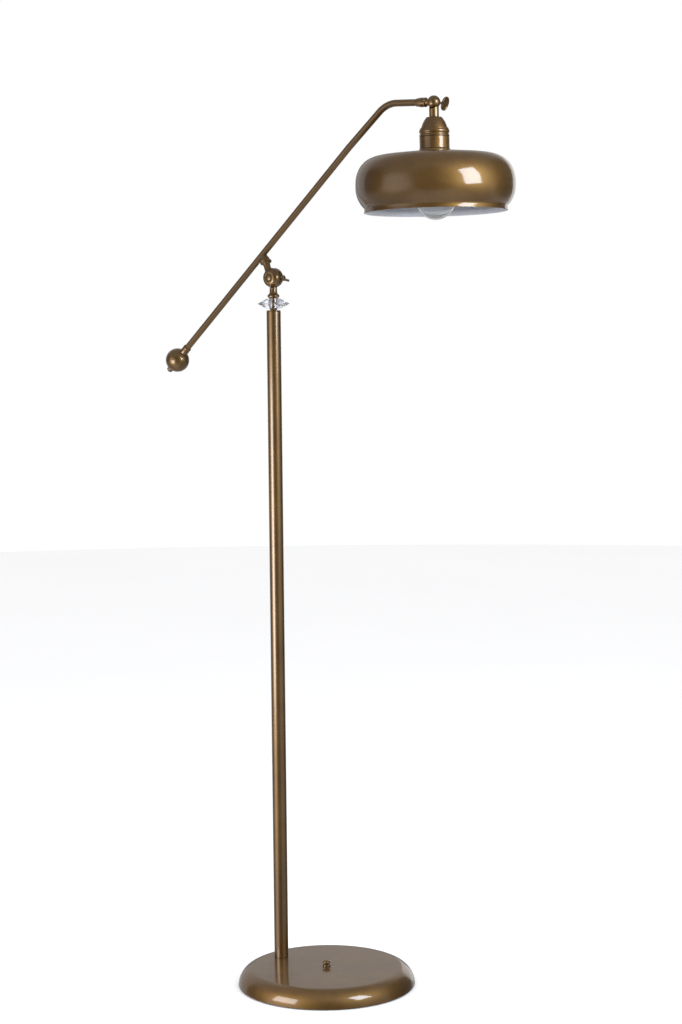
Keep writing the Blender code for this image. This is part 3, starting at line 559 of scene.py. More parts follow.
def hull(name: str, discs: Sequence[tuple[float, float, float]], thickness: float) -> Object:
    """A flat plate that wraps round several discs, as a rubber band would.

    Args:
        name: The piece's name.
        discs: X, Y and radius of each disc, in mm.
        thickness: The plate's thickness in Z.

    Returns:
        The plate, halved by the plane z = 0.
    """
    made = []
    for across, along, radius in discs:
        deselect()
        bpy.ops.mesh.primitive_cylinder_add(
            vertices=40, radius=radius * MM, depth=thickness * MM, location=(across * MM, along * MM, 0.0)
        )
        made.append(bpy.context.object)
    for disc in made:
        disc.select_set(True)
    bpy.ops.object.join()
    plate = named(name)
    apply_place()
    with editing(plate):
        bpy.ops.mesh.select_all(action="SELECT")
        bpy.ops.mesh.convex_hull()
        bpy.ops.mesh.select_all(action="SELECT")
        bpy.ops.mesh.normals_make_consistent(inside=False)
    return plate


def finished(
    piece: Object, finish: Finishes, body: str, node: str, smooth: float = 35.0
) -> None:
    """Shade and dress a piece, and tie it to the frame.

    Args:
        piece: The piece, in place.
        finish: Its finish.
        body: The body it moves with.
        node: The node it stands for.
        smooth: Edges that turn less than this many degrees are shaded smooth.
    """
    take(piece)
    bpy.ops.object.shade_smooth_by_angle(angle=math.radians(smooth))
    if not piece.data.materials:
        piece.data.materials.append(finish.value.material())
    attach(piece, body)
    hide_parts(node)
    LOG.info("%s: %d faces, %s, on %s", piece.name, len(piece.data.polygons), finish.value.name, body)


def lathed(
    name: str, outline: Outline, body: str, node: str, place: Matrix = Matrix(), *,
    finish: Finishes = Finishes.BRONZE_TURNED, ease: float = 0.3, steps: int = 72, smooth: float = 35.0,
) -> None:
    """Turn a piece, break its edges, carry it to its place and finish it.

    Args:
        name: The piece's name.
        outline: Radius and height points in mm, sharp.
        body: The body it moves with.
        node: The node it stands for.
        place: The frame it is drawn in.
        finish: Its finish.
        ease: Size of its broken edges in mm, or 0 for none.
        steps: Sides of each ring.
        smooth: Edges that turn less than this many degrees are shaded smooth.
    """
    piece = turned(name, eased(outline, ease) if ease else outline, steps)
    finished(settled(piece, place), finish, body, node, smooth)


# --- places


ALONG_Y = Matrix.Rotation(-math.pi / 2, 4, "X")
AGAINST_Y = Matrix.Rotation(math.pi / 2, 4, "X")


def joint_place(name: str) -> Vector:
    """Where a joint stands at rest, in metres."""
    return Vector(next(joint["pos_m"] for joint in frame["joints"] if joint["name"] == name))


def span_of(node: str) -> tuple[float, float, float]:
    """Half of a node's width, and the heights of its underside and its top, in mm."""
    low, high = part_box(node)
    return (high.y - low.y) / 2 / MM, low.z / MM, high.z / MM


def column_place() -> Matrix:
    """Frame of the column, on the floor."""
    pivot = joint_place("column_swivel")
    return Matrix.Translation((pivot.x, pivot.y, 0.0))


# --- base


@dataclass
class Base:
    """The round base: a spun cover over a cast weight, on a felt pad.

    Attributes:
        shoulder: Width of the rounded edge of the cover.
        wall: Thickness of the cover.
        switch_hole: Radius of the hole for the foot switch.
        nipple_hole: Radius of the hole under the column.
        gland_angle: Direction of the cable gland, in degrees from +X.
        gland_hole: Radius of the gland's hole.
        gland_height: Height of the gland over the floor.
        span: Radius of the cover, and the heights of its edge and its top.
    """

    shoulder: float = 26.8
    wall: float = 1.2
    switch_hole: float = 6.0
    nipple_hole: float = 5.6
    gland_angle: float = 125.0
    gland_hole: float = 4.8
    gland_height: float = 9.0
    span: tuple[float, float, float] = field(default_factory=lambda: span_of("base_cover"))

    def gland_place(self) -> Matrix:
        """Frame of the gland, its Z pointing out of the base."""
        turn = Matrix.Rotation(math.radians(self.gland_angle), 4, "Z") @ Matrix.Rotation(math.pi / 2, 4, "Y")
        return Matrix.Translation((0.0, 0.0, self.gland_height * MM)) @ turn

    def build_cover(self) -> None:
        """Spin the cover: flat top, long rounded shoulder, short straight skirt."""
        radius, foot, top = self.span
        edge = radius - self.shoulder
        shoulder = arc((edge, 0.0), (self.shoulder, top), 90.0, 5.0, 26)
        flat = [(self.switch_hole + extra, top) for extra in (0.0, 1.0, 2.0)]
        outline = flat + [(edge * 0.5, top)] + shoulder + [(radius, foot)]
        cover = turned("spun_base_cover", outline, 160)
        face_outwards(cover)
        modified(cover, "SOLIDIFY", thickness=self.wall * MM, offset=-1.0, use_even_offset=True)
        bevelled(cover, 0.3, 60.0, 2)
        carved(cover, settled(rod("column_hole", self.nipple_hole, 20.0, 40.0), column_place()))
        carved(cover, settled(rod("gland_hole", self.gland_hole, 140.0, 165.0), self.gland_place()))
        finished(cover, Finishes.BRONZE, "root", "base_cover")

    def build_pad(self) -> None:
        """Punch the felt pad."""
        radius, _, top = span_of("base_pad")
        outline = [(0.0, 0.0), (radius, 0.0), (radius, top), (0.0, top)]
        lathed("felt_pad", outline, "root", "base_pad", finish=Finishes.FELT, ease=0.6, steps=120)

    def build_gland(self) -> None:
        """Mould the cable gland with its flange and ribbed throat."""
        flange = self.span[0]
        outline = ring([
            (2.6, flange - 10.0), (4.4, flange - 10.0), (4.4, flange), (6.2, flange), (6.2, flange + 1.4),
            (5.0, flange + 2.4), (3.6, flange + 2.4), (3.2, flange + 1.2), (2.6, flange + 0.8),
        ])
        lathed(
            "moulded_cord_gland", outline, "root", "cord_gland", self.gland_place(),
            finish=Finishes.PHENOLIC, ease=0.4,
        )

    def build(self) -> None:
        """Make every piece of the base."""
        self.build_cover()
        self.build_pad()
        self.build_gland()


def face_outwards(shell: Object) -> None:
    """Turn an open shell's faces away from the Z axis.

    Args:
        shell: The shell, turned about Z.
    """
    widest = max(shell.data.polygons, key=lambda face: face.center.xy.length)
    if widest.normal.xy.dot(widest.center.xy) < 0.0:
        with editing(shell):
            bpy.ops.mesh.select_all(action="SELECT")
            bpy.ops.mesh.flip_normals()


@dataclass
class FootSwitch:
    """The push switch in the middle of the base, under a domed brass button.

    Attributes:
        stem: Radius of the button's stem.
        neck: Radius of the ring nut's hole.
        head_drop: How far the button's head reaches below its top.
    """

    stem: float = 3.0
    neck: float = 5.8
    head_drop: float = 4.9

    def build(self) -> None:
        """Turn the ring nut and the button."""
        radius, low, high = span_of("foot_switch_ring")
        nut = ring([
            (self.neck, low), (radius, low), (radius, high - 0.8), (radius - 0.4, high), (self.neck, high),
        ])
        lathed("switch_ring_nut", nut, "root", "foot_switch_ring", ease=0.35)
        radius, low, top = span_of("foot_switch_button")
        under = top - self.head_drop
        outline = [
            (0.0, low), (self.stem, low), (self.stem, under), (radius - 0.8, under), (radius, under + 0.9),
        ]
        outline += arc((0.0, top - 3.4), (radius, 3.4), 8.0, 90.0, 14)
        lathed("domed_switch_button", outline, "switch_button", "foot_switch_button", ease=0.35)


# --- column


@dataclass
class Column:
    """The column tube with its cap, the cut glass disc and the rings it sits between.

    Attributes:
        wall: Thickness of the tube.
        spigot: Radius of the cap's spigot inside the tube.
        nipple_bore: Bore of the pieces that are threaded on the nipple.
        glass_bore: Bore of the glass disc.
        sides: Facets round the glass disc.
        belt: Height of the disc's widest edge, over its underside.
        bottom_radius: Radius of the flat under the disc.
        top_radius: Radius of the flat on the disc.
        thread: Pitch of the nipple's thread.
    """

    wall: float = 1.5
    spigot: float = 10.6
    nipple_bore: float = 5.2
    glass_bore: float = 5.8
    sides: int = 16
    belt: float = 8.3
    bottom_radius: float = 12.5
    top_radius: float = 11.7
    thread: float = 1.0
    place: Matrix = field(default_factory=column_place)

    def build_tube(self) -> None:
        """Draw the tube, with its ends trimmed square."""
        radius, low, top = span_of("column_tube")
        outline = washer(radius - self.wall, radius, low, top)
        lathed(
            "drawn_column_tube", outline, "root", "column_tube", self.place,
            finish=Finishes.BRONZE_TUBE, steps=96,
        )

    def build_cap(self) -> None:
        """Turn the cap that closes the tube."""
        radius, low, top = span_of("column_cap")
        rim = span_of("column_tube")[2] + 0.3
        outline = ring([(self.nipple_bore, low), (self.spigot, low), (self.spigot, rim), (radius, rim),
                        (radius, top - 0.5), (radius - 0.4, top), (self.nipple_bore, top)])
        lathed("turned_column_cap", outline, "root", "column_cap", self.place, steps=96)

    def build_disc(self) -> None:
        """Cut the glass disc: two rows of triangular facets round a sharp belt."""
        radius, low, top = span_of("crystal_disc")
        half_step = math.pi / self.sides
        deselect()
        bpy.ops.mesh.primitive_circle_add(
            vertices=self.sides, radius=self.bottom_radius * MM, location=(0.0, 0.0, low * MM),
            fill_type="NGON",
        )
        disc = named("cut_glass_disc")
        levels = ((self.bottom_radius, low), (radius, low + self.belt), (self.top_radius, top))
        with editing(disc):
            bpy.ops.mesh.select_all(action="SELECT")
            for (here, under), (there, over) in zip(levels, levels[1:]):
                bpy.ops.mesh.extrude_region_move(
                    TRANSFORM_OT_translate={"value": (0.0, 0.0, (over - under) * MM)}
                )
                share = there / here
                centre = (0.0, 0.0, over * MM)
                bpy.ops.transform.resize(value=(share, share, 1.0), center_override=centre)
                bpy.ops.transform.rotate(value=half_step, orient_axis="Z", center_override=centre)
            pick_faces(disc, lambda face: abs(face.normal.z) < 0.97)
            bpy.ops.mesh.quads_convert_to_tris(quad_method="SHORTEST_DIAGONAL")
            bpy.ops.mesh.select_all(action="SELECT")
            bpy.ops.mesh.normals_make_consistent(inside=False)
        apply_place()
        carved(disc, rod("disc_bore", self.glass_bore, low - 5.0, top + 5.0, 48))
        bevelled(disc, 0.22, 8.0, 1)
        settled(disc, self.place @ Matrix.Rotation(half_step, 4, "Z"))
        finished(disc, Finishes.CRYSTAL, "root", "crystal_disc", smooth=3.0)

    def build_rings(self) -> None:
        """Turn the seat under the glass, the washer over it and the threaded nipple."""
        radius, low, top = span_of("crystal_seat")
        waist = (low + top) / 2
        seat = ring([(self.nipple_bore, low), (radius, low), (radius - 0.3, low + 0.5), (radius - 0.7, waist),
                     (radius - 0.3, top - 0.5), (radius, top), (self.nipple_bore, top)])
        lathed("crystal_seat_ring", seat, "root", "crystal_seat", self.place, ease=0.2)
        cushion = washer(self.nipple_bore, *span_of("crystal_washer"))
        lathed(
            "crystal_cushion_washer", cushion, "root", "crystal_washer", self.place,
            finish=Finishes.PHENOLIC, ease=0.2,
        )
        crest, low, top = span_of("centre_nipple")
        bore, root = 3.3, crest - 0.45
        turns = int((top - low) / self.thread)
        flank: Outline = []
        for index in range(turns):
            height = low + 0.2 + index * self.thread
            flank += [(root, height), (crest, height + 0.4 * self.thread)]
        nipple = ring([(bore, low)] + flank + [(root, top), (bore, top)])
        lathed("threaded_nipple", nipple, "root", "centre_nipple", self.place, ease=0.0, steps=48)

    def build(self) -> None:
        """Make every piece on the column's axis."""
        self.build_tube()
        self.build_cap()
        self.build_disc()
        self.build_rings()


# --- knuckle


@dataclass
class Arm:
    """The bent arm: its frame, tube, stem, counterweight and ferrule.

    Attributes:
        offset: Height of the tube's axis over the knuckle, in the arm's frame.
        bow: Where the tube bows faintly, along the arm's frame.
        bow_turn: Angle of the bow, in degrees.
        bow_bend: Radius of the bow.
        run: Length from the bow to where the last two straight runs of the axis would meet.
        turn: Angle between the first and the last straight run, in degrees.
        bend: Radius of the bend.
        tip: Length from the bend's corner to the ball joint.
        tube_radius: Radius of the tube.
        tube_wall: Thickness of the tube.
        stem_angle: Angle between stem and tube, in degrees.
        stem_foot: Where the stem's axis starts, from the knuckle.
        stem_side: How far the stem's foot stands to one side.
        weight_x: Centre of the counterweight along the tube.
        stud_bore: Bore of the ball, the collar and the nut.
        knuckle: Where the knuckle's axis is.
        ball: Where the ball joint's axis is.
    """

    offset: float = 46.0
    bow: float = 270.0
    bow_turn: float = 2.0
    bow_bend: float = 300.0
    run: float = 103.67
    turn: float = 45.04
    bend: float = 50.0
    tip: float = 95.09
    tube_radius: float = 5.7
    tube_wall: float = 1.2
    stem_angle: float = 74.9
    stem_foot: float = 8.0
    stem_side: float = -6.0
    weight_x: float = -263.5
    stud_bore: float = 3.4
    knuckle: Vector = field(default_factory=lambda: joint_place("knuckle_tilt"))
    ball: Vector = field(default_factory=lambda: joint_place("head_tilt"))

    def heading(self, turn: float) -> Vector:
        """Direction in the arm's frame after turning down by so many degrees."""
        angle = math.radians(turn)
        return Vector((math.cos(angle), 0.0, -math.sin(angle)))

    def tip_point(self) -> Vector:
        """Centre of the ball joint in the arm's frame, in mm."""
        bow = Vector((self.bow, 0.0, self.offset))
        return bow + self.heading(self.bow_turn) * self.run + self.heading(self.turn) * self.tip

    def place(self) -> Matrix:
        """Frame of the arm: origin on the knuckle, X along the long straight run."""
        reach, local = self.ball - self.knuckle, self.tip_point()
        slope = math.atan2(reach.z, reach.x) - math.atan2(local.z, local.x)
        return Matrix.Translation(self.knuckle) @ Matrix.Rotation(-slope, 4, "Y")

    def stem_place(self) -> tuple[Matrix, float]:
        """Frame of the stem, its Z along the stem, and the length of its axis in mm."""
        angle = math.radians(self.stem_angle)
        low = Vector((self.stem_foot * math.cos(angle), self.stem_side, self.stem_foot * math.sin(angle)))
        high = Vector((self.offset / math.tan(angle), 0.0, self.offset))
        turn = (high - low).to_track_quat("Z", "Y").to_matrix().to_4x4()
        return self.place() @ Matrix.Translation(low * MM) @ turn, (high - low).length

    def weight_place(self) -> Matrix:
        """Frame of the counterweight: Z points out past the tube's end."""
        centre = Vector((self.weight_x, 0.0, self.offset)) * MM
        return self.place() @ Matrix.Translation(centre) @ Matrix.Rotation(-math.pi / 2, 4, "Y")

    def tip_place(self) -> Matrix:
        """Frame of the tube's end: origin in the ball, Z back along the tube."""
        turn = Matrix.Rotation(math.radians(self.turn) - math.pi / 2, 4, "Y")
        return self.place() @ Matrix.Translation(self.tip_point() * MM) @ turn

    def build_tube(self) -> None:
        """Bend the tube twice and give it its wall."""
        start = self.weight_x + 24.5
        bow_reach = self.bow_bend * math.tan(math.radians(self.bow_turn / 2))
        sharp = self.turn - self.bow_turn
        bend_reach = self.bend * math.tan(math.radians(sharp / 2))
        here = Vector((self.bow - bow_reach, 0.0, self.offset))
        deselect()
        bpy.ops.mesh.primitive_circle_add(
            vertices=64, radius=self.tube_radius * MM, location=(start * MM, 0.0, self.offset * MM),
            rotation=(0.0, math.pi / 2, 0.0),
        )
        tube = named("bent_arm_tube")
        with editing(tube):
            bpy.ops.mesh.select_all(action="SELECT")
            self.draw_on(Vector((here.x - start, 0.0, 0.0)))
            here = self.bend_on(here, 0.0, self.bow_turn, self.bow_bend, 4)
            straight = self.heading(self.bow_turn) * (self.run - bow_reach - bend_reach)
            self.draw_on(straight)
            self.bend_on(here + straight, self.bow_turn, sharp, self.bend, 26)
            self.draw_on(self.heading(self.turn) * (self.tip - bend_reach - 16.5))
            close_seams()
        apply_place()
        modified(tube, "SOLIDIFY", thickness=self.tube_wall * MM, offset=-1.0)
        finished(settled(tube, self.place()), Finishes.BRONZE, "arm", "arm_tube")

    @staticmethod
    def draw_on(move: Vector) -> None:
        """Draw the selected ring on, straight, by a vector in mm."""
        bpy.ops.mesh.extrude_region_move(TRANSFORM_OT_translate={"value": tuple(move * MM)})

    def bend_on(self, here: Vector, heading: float, turn: float, radius: float, steps: int) -> Vector:
        """Bend the selected ring on, downwards.

        Args:
            here: Centre of the ring, in mm.
            heading: How far the tube is turned down already, in degrees.
            turn: Angle of the bend, in degrees.
            radius: Radius of the bend.
            steps: How many rings the bend has.

        Returns:
            Centre of the last ring.
        """
        centre = here + self.heading(heading + 90.0) * radius
        bpy.ops.mesh.spin(
            steps=steps, angle=-math.radians(turn), axis=(0.0, 1.0, 0.0), center=tuple(centre * MM)
        )
        return centre - self.heading(heading + turn + 90.0) * radius

    def build_stem(self) -> None:
        """Turn the stem with its ring, and saddle its top to the tube."""
        place, length = self.stem_place()
        bore = 3.0
        outline = [(bore, 20.3), (6.9, 20.3), (7.2, 21.0), (9.5, 21.6)]
        outline += arc((9.3, 23.0), (1.0, 1.4), -75.0, 75.0, 8)
        outline += [(8.3, 24.8), (8.4, 26.3), (8.0, 28.4), (7.4, 30.5), (6.3, 33.2), (5.4, 35.5), (5.1, 38.0),
                    (5.0, length), (bore, length)]
        stem = settled(turned("turned_arm_stem", eased(ring(outline), 0.3)), place)
        saddle = self.place() @ Matrix.Translation((0.0, 0.0, self.offset * MM)) @ Matrix.Rotation(
            math.pi / 2, 4, "Y")
        carved(stem, settled(rod("tube_clearance", self.tube_radius + 0.3, -60.0, 60.0), saddle))
        finished(stem, Finishes.BRONZE_TURNED, "arm", "arm_stem")

    def build_counterweight(self) -> None:
        """Turn the ball, the collar on the tube and the domed nut."""
        place = self.weight_place()
        radius = 21.3
        pole = math.degrees(math.asin(self.stud_bore / radius))
        ball = ring(arc((0.0, 0.0), (radius, radius), pole - 90.0, 90.0 - pole, 44))
        lathed("counterweight_ball_turned", ball, "arm", "counterweight_ball", place, ease=0.0, steps=96)
        collar = ring([
            (self.stud_bore, -24.2), (6.0, -24.2), (6.0, -34.0), (6.8, -34.0), (7.3, -33.2), (7.3, -30.4),
            (6.9, -29.9), (6.9, -29.1), (7.3, -28.6), (7.3, -24.5), (7.6, -20.8), (self.stud_bore, -21.6),
        ])
        lathed("counterweight_collar_turned", collar, "arm", "counterweight_collar", place, ease=0.25)
        nut = [
            (0.0, 26.0), (self.stud_bore, 26.0), (self.stud_bore, 21.6), (5.4, 21.6), (5.6, 22.2),
            (5.6, 24.6),
        ]
        nut += arc((0.0, 25.4), (5.4, 3.9), 10.0, 90.0, 12)
        lathed("counterweight_domed_nut", nut, "arm", "counterweight_nut", place, ease=0.25)

    def build_ferrule(self) -> None:
        """Turn the ferrule that sleeves the tube's end."""
        outline = ring([
            (3.2, 14.5), (6.4, 14.5), (7.6, 15.4), (7.9, 16.4), (7.9, 17.4), (7.2, 18.4), (7.1, 19.4),
            (7.2, 20.4), (7.9, 21.4), (7.9, 24.0), (7.6, 27.0), (6.6, 34.0), (6.0, 34.0), (6.0, 16.2),
            (3.2, 16.2),
        ])
        lathed("turned_arm_ferrule", outline, "arm", "arm_ferrule", self.tip_place(), ease=0.35)

    def build(self) -> None:
        """Make every piece of the arm but its two joints."""
        self.build_tube()
        self.build_stem()
        self.build_counterweight()
        self.build_ferrule()


@dataclass
class Knuckle:
    """The friction joint under the arm: a collar, two domed halves, a screw and a wing nut.

    Attributes:
        arm: The arm it carries.
        radius: Radius of the halves.
        depth: Depth of each half.
        flat: Radius of the flat on each half.
        parting: Half of the slit between the halves.
        bore: Radius of the screw's hole.
        clearance: Radius of the room cut round the other half.
        neck: Radius of the neck that stands on the collar.
        ear_turn: How far the wing nut is turned, in degrees.
    """

    arm: Arm
    radius: float = 17.0
    depth: float = 13.3
    flat: float = 8.5
    parting: float = 0.7
    bore: float = 3.0
    clearance: float = 17.6
    neck: float = 6.6
    ear_turn: float = 27.0

    def dome(self, inner: Outline) -> Outline:
        """Closed outline of one half.

        Args:
            inner: The points between the flat and the bore.

        Returns:
            The outline, with height 0 where the halves meet.
        """
        curve = arc((self.flat, 2.5), (self.radius - self.flat, self.depth - 2.5), 0.0, 90.0, 16)
        rim = [
            (self.bore, self.parting), (self.radius - 0.4, self.parting), (self.radius, self.parting + 0.5),
        ]
        return eased(ring(rim + curve + inner), 0.3)

    def build_collar(self) -> None:
        """Turn the collar that swivels on the nipple."""
        _, low, top = span_of("swivel_collar")
        floor = top - 3.2
        outline = [(0.0, floor), (5.2, floor), (5.2, low), (8.8, low)]
        outline += arc((8.4, low + 3.0), (2.2, 2.7), -60.0, 60.0, 12)
        outline += [(8.5, low + 6.2), (8.0, low + 6.9), (7.0, low + 8.4), (self.neck, low + 9.5),
                    (self.neck, top), (0.0, top)]
        lathed("swivel_collar_turned", outline, "swivel", "swivel_collar", column_place())

    def build_halves(self) -> None:
        """Make the half on the column and the half on the arm."""
        here = Matrix.Translation(self.arm.knuckle)
        lower = settled(turned("knuckle_column_half", self.dome([(self.bore, self.depth)])), here @ ALONG_Y)
        pivot = self.arm.knuckle.z / MM
        foot = rod("knuckle_foot", self.neck, span_of("swivel_collar")[2] + 0.3, pivot - 8.0)
        carved(lower, settled(foot, column_place()), "UNION")
        slit = rod("arm_half_room", self.clearance, -20.0, self.parting)
        carved(lower, settled(slit, here @ ALONG_Y))
        finished(lower, Finishes.BRONZE_TURNED, "swivel", "knuckle_lower")

        recess = [(7.2, self.depth), (6.8, 12.0), (self.bore, 12.0)]
        upper = settled(turned("knuckle_arm_half", self.dome(recess)), self.arm.place() @ AGAINST_Y)
        stub = turned("knuckle_stub", [(0.0, 4.0), (6.4, 4.0), (6.1, 10.0), (6.0, 14.0), (6.2, 17.5),
                                       (6.6, 20.0),
                                       (0.0, 20.0)])
        carved(upper, settled(stub, self.arm.stem_place()[0]), "UNION")
        slit = rod("column_half_room", self.clearance, -self.parting, 20.0)
        carved(upper, settled(slit, self.arm.place() @ ALONG_Y))
        finished(upper, Finishes.BRONZE_TURNED, "arm", "knuckle_upper")

    def build_fasteners(self) -> None:
        """Make the fibre disc, the screw, the spring washer and the wing nut."""
        here = Matrix.Translation(self.arm.knuckle) @ ALONG_Y
        lathed(
            "knuckle_fibre_disc", washer(self.bore, 14.0, -0.4, 0.4), "swivel", "knuckle_friction_washer",
            here, finish=Finishes.FIBRE, ease=0.0,
        )
        head = 6.3
        outline = [(0.0, 29.0), (2.2, 29.0), (2.5, 28.5), (2.5, -12.35), (head, -12.35)]
        outline += arc((0.0, -13.0), (head, 2.4), 0.0, -90.0, 12)
        screw = turned("knuckle_dome_screw", eased(outline, 0.2))
        slot_tool = hull("screw_slot", [(-8.0, 0.0, 0.5), (8.0, 0.0, 0.5)], 1.6)
        settled(slot_tool, Matrix.Translation((0.0, 0.0, -15.3 * MM)))
        carved(screw, slot_tool)
        finished(settled(screw, here), Finishes.BRONZE_TURNED, "swivel", "knuckle_screw")
        lathed(
            "knuckle_spring_washer_ring", washer(self.bore, 6.5, 13.7, 14.9), "swivel", "knuckle_spring_washer",
            here, finish=Finishes.STEEL, ease=0.2,
        )
        self.build_wing_nut(here)

    def build_wing_nut(self, here: Matrix) -> None:
        """Forge the wing nut: a tapered hub with two rounded ears.

        Args:
            here: Frame of the screw, its Z along the shank.
        """
        hub = [
            (2.8, 15.3), (6.2, 15.3), (6.5, 15.7), (6.4, 16.4), (5.9, 17.0), (5.5, 27.5), (5.0, 28.5),
            (2.8, 28.5),
        ]
        nut = settled(turned("forged_wing_nut", eased(ring(hub), 0.3)), here)
        ear_twist = Matrix.Rotation(math.radians(self.ear_turn), 4, "Y")
        ears_turn = Matrix.Translation(self.arm.knuckle) @ ear_twist
        for side in (1.0, -1.0):
            discs = ((side * 9.0, 30.2, 3.0), (side * 5.2, 19.2, 1.3), (side * 4.4, 26.0, 1.3))
            ear = bevelled(hull("wing_nut_ear", discs, 2.8), 0.8, 50.0, 3)
            carved(nut, settled(ear, ears_turn), "UNION")
        finished(nut, Finishes.BRONZE_TURNED, "wing_nut", "knuckle_wing_nut", smooth=40.0)

    def build(self) -> None:
        """Make every piece of the knuckle."""
        self.build_collar()
        self.build_halves()
        self.build_fasteners()


# --- lamp head


@dataclass
class HeadJoint:
    """The ball joint between arm and lamp head, clamped by a thumb screw.

    Attributes:
        arm: The arm it ends.
        tilt: How far the head leans at rest, in degrees.
        radius: Radius of the ball.
        parting: Half of the slit between its halves.
        bore: Radius of the screw's hole.
        clearance: Radius of the room cut round the other half.
        neck: Radius of the neck over the lampholder.
        blade_turn: How far the thumb screw is turned, in degrees.
        blade: Half length, half width and thickness of its oval blade.
    """

    arm: Arm
    tilt: float = 0.95
    radius: float = 10.85
    parting: float = 0.5
    bore: float = 2.5
    clearance: float = 11.2
    neck: float = 8.0
    blade_turn: float = -70.0
    blade: tuple[float, float, float] = (11.8, 9.3, 2.8)

    def centre(self) -> Matrix:
        """Frame in the middle of the ball, upright."""
        return self.arm.place() @ Matrix.Translation(self.arm.tip_point() * MM) @ (
            self.arm.place().to_quaternion().inverted().to_matrix().to_4x4())

    def head_place(self) -> Matrix:
        """Frame of the lamp head: origin in the ball, Z up its axis."""
        return self.centre() @ Matrix.Rotation(-math.radians(self.tilt), 4, "Y")

    def ball(self, low: float, high: float) -> Outline:
        """Outline of the ball between two heights."""
        start, end = (math.degrees(math.asin(height / self.radius)) for height in (low, high))
        return arc((0.0, 0.0), (self.radius, self.radius), start, end, 18)

    def build_halves(self) -> None:
        """Make the two halves of the ball and the disc between them."""
        here = self.head_place()
        outline = [(0.0, 9.0), (self.bore, 9.0), (self.bore, self.parting)]
        outline += self.ball(self.parting, self.radius)[:-1]
        outline.append((0.0, self.radius))
        half = settled(turned("ball_arm_half", outline), self.arm.tip_place() @ AGAINST_Y)
        carved(half, settled(rod("ball_stub", 5.5, 7.0, 14.2), self.arm.tip_place()), "UNION")
        room = rod("shade_half_room", self.clearance, -self.parting, 20.0)
        carved(half, settled(room, self.arm.tip_place() @ ALONG_Y))
        finished(half, Finishes.BRONZE_TURNED, "arm", "head_joint_arm_half")

        outline = ring(
            [(self.bore, self.parting)] + self.ball(self.parting, 10.56)[:-1] + [(self.bore, 10.56)]
        )
        half = settled(turned("ball_shade_half", outline), here @ ALONG_Y)
        neck = [(0.0, -13.5), (5.2, -13.5), (5.2, -24.3), (self.neck - 0.4, -24.3), (self.neck, -23.8),
                (self.neck, -6.0), (0.0, -6.0)]
        carved(half, settled(turned("ball_neck", neck), here), "UNION")
        carved(half, settled(rod("arm_half_room", self.clearance, -20.0, self.parting), here @ ALONG_Y))
        finished(half, Finishes.BRONZE_TURNED, "head", "head_joint_shade_half")
        lathed(
            "head_fibre_disc", washer(self.bore, 9.5, -0.2, 0.2), "head", "head_friction_washer",
            here @ ALONG_Y, finish=Finishes.FIBRE, ease=0.0,
        )

    def build_thumb_screw(self) -> None:
        """Turn the screw and forge its oval blade, which is dished on both sides."""
        long, wide, thick = self.blade
        across = 32.0
        shank = turned("thumb_screw_turned", eased([
            (0.0, -8.0), (1.8, -8.0), (2.1, -7.6), (2.1, 11.3), (3.6, 11.3), (3.6, 13.0), (2.4, 14.2),
            (2.2, 16.0), (2.2, 24.5), (0.0, 24.5)], 0.3))
        settled(shank, self.centre() @ ALONG_Y)
        deselect()
        bpy.ops.mesh.primitive_cylinder_add(
            vertices=72, radius=MM, depth=thick * MM, location=(0.0, across * MM, 0.0),
            scale=(long, wide, 1.0),
        )
        blade = named("thumb_screw_blade")
        apply_place()
        with editing(blade, "FACE"):
            pick_faces(blade, lambda face: abs(face.normal.z) > 0.9)
            bpy.ops.mesh.inset(thickness=1.7 * MM)
            bpy.ops.mesh.inset(thickness=0.7 * MM, depth=-0.7 * MM)
        bevelled(blade, 0.6, 50.0, 3)
        turn = Matrix.Rotation(math.radians(self.blade_turn), 4, "Y")
        carved(shank, settled(blade, self.centre() @ turn), "UNION")
        finished(shank, Finishes.BRONZE_TURNED, "thumb_screw", "head_thumb_screw")

    def build(self) -> None:
        """Make every piece of the joint."""
        self.build_halves()
        self.build_thumb_screw()


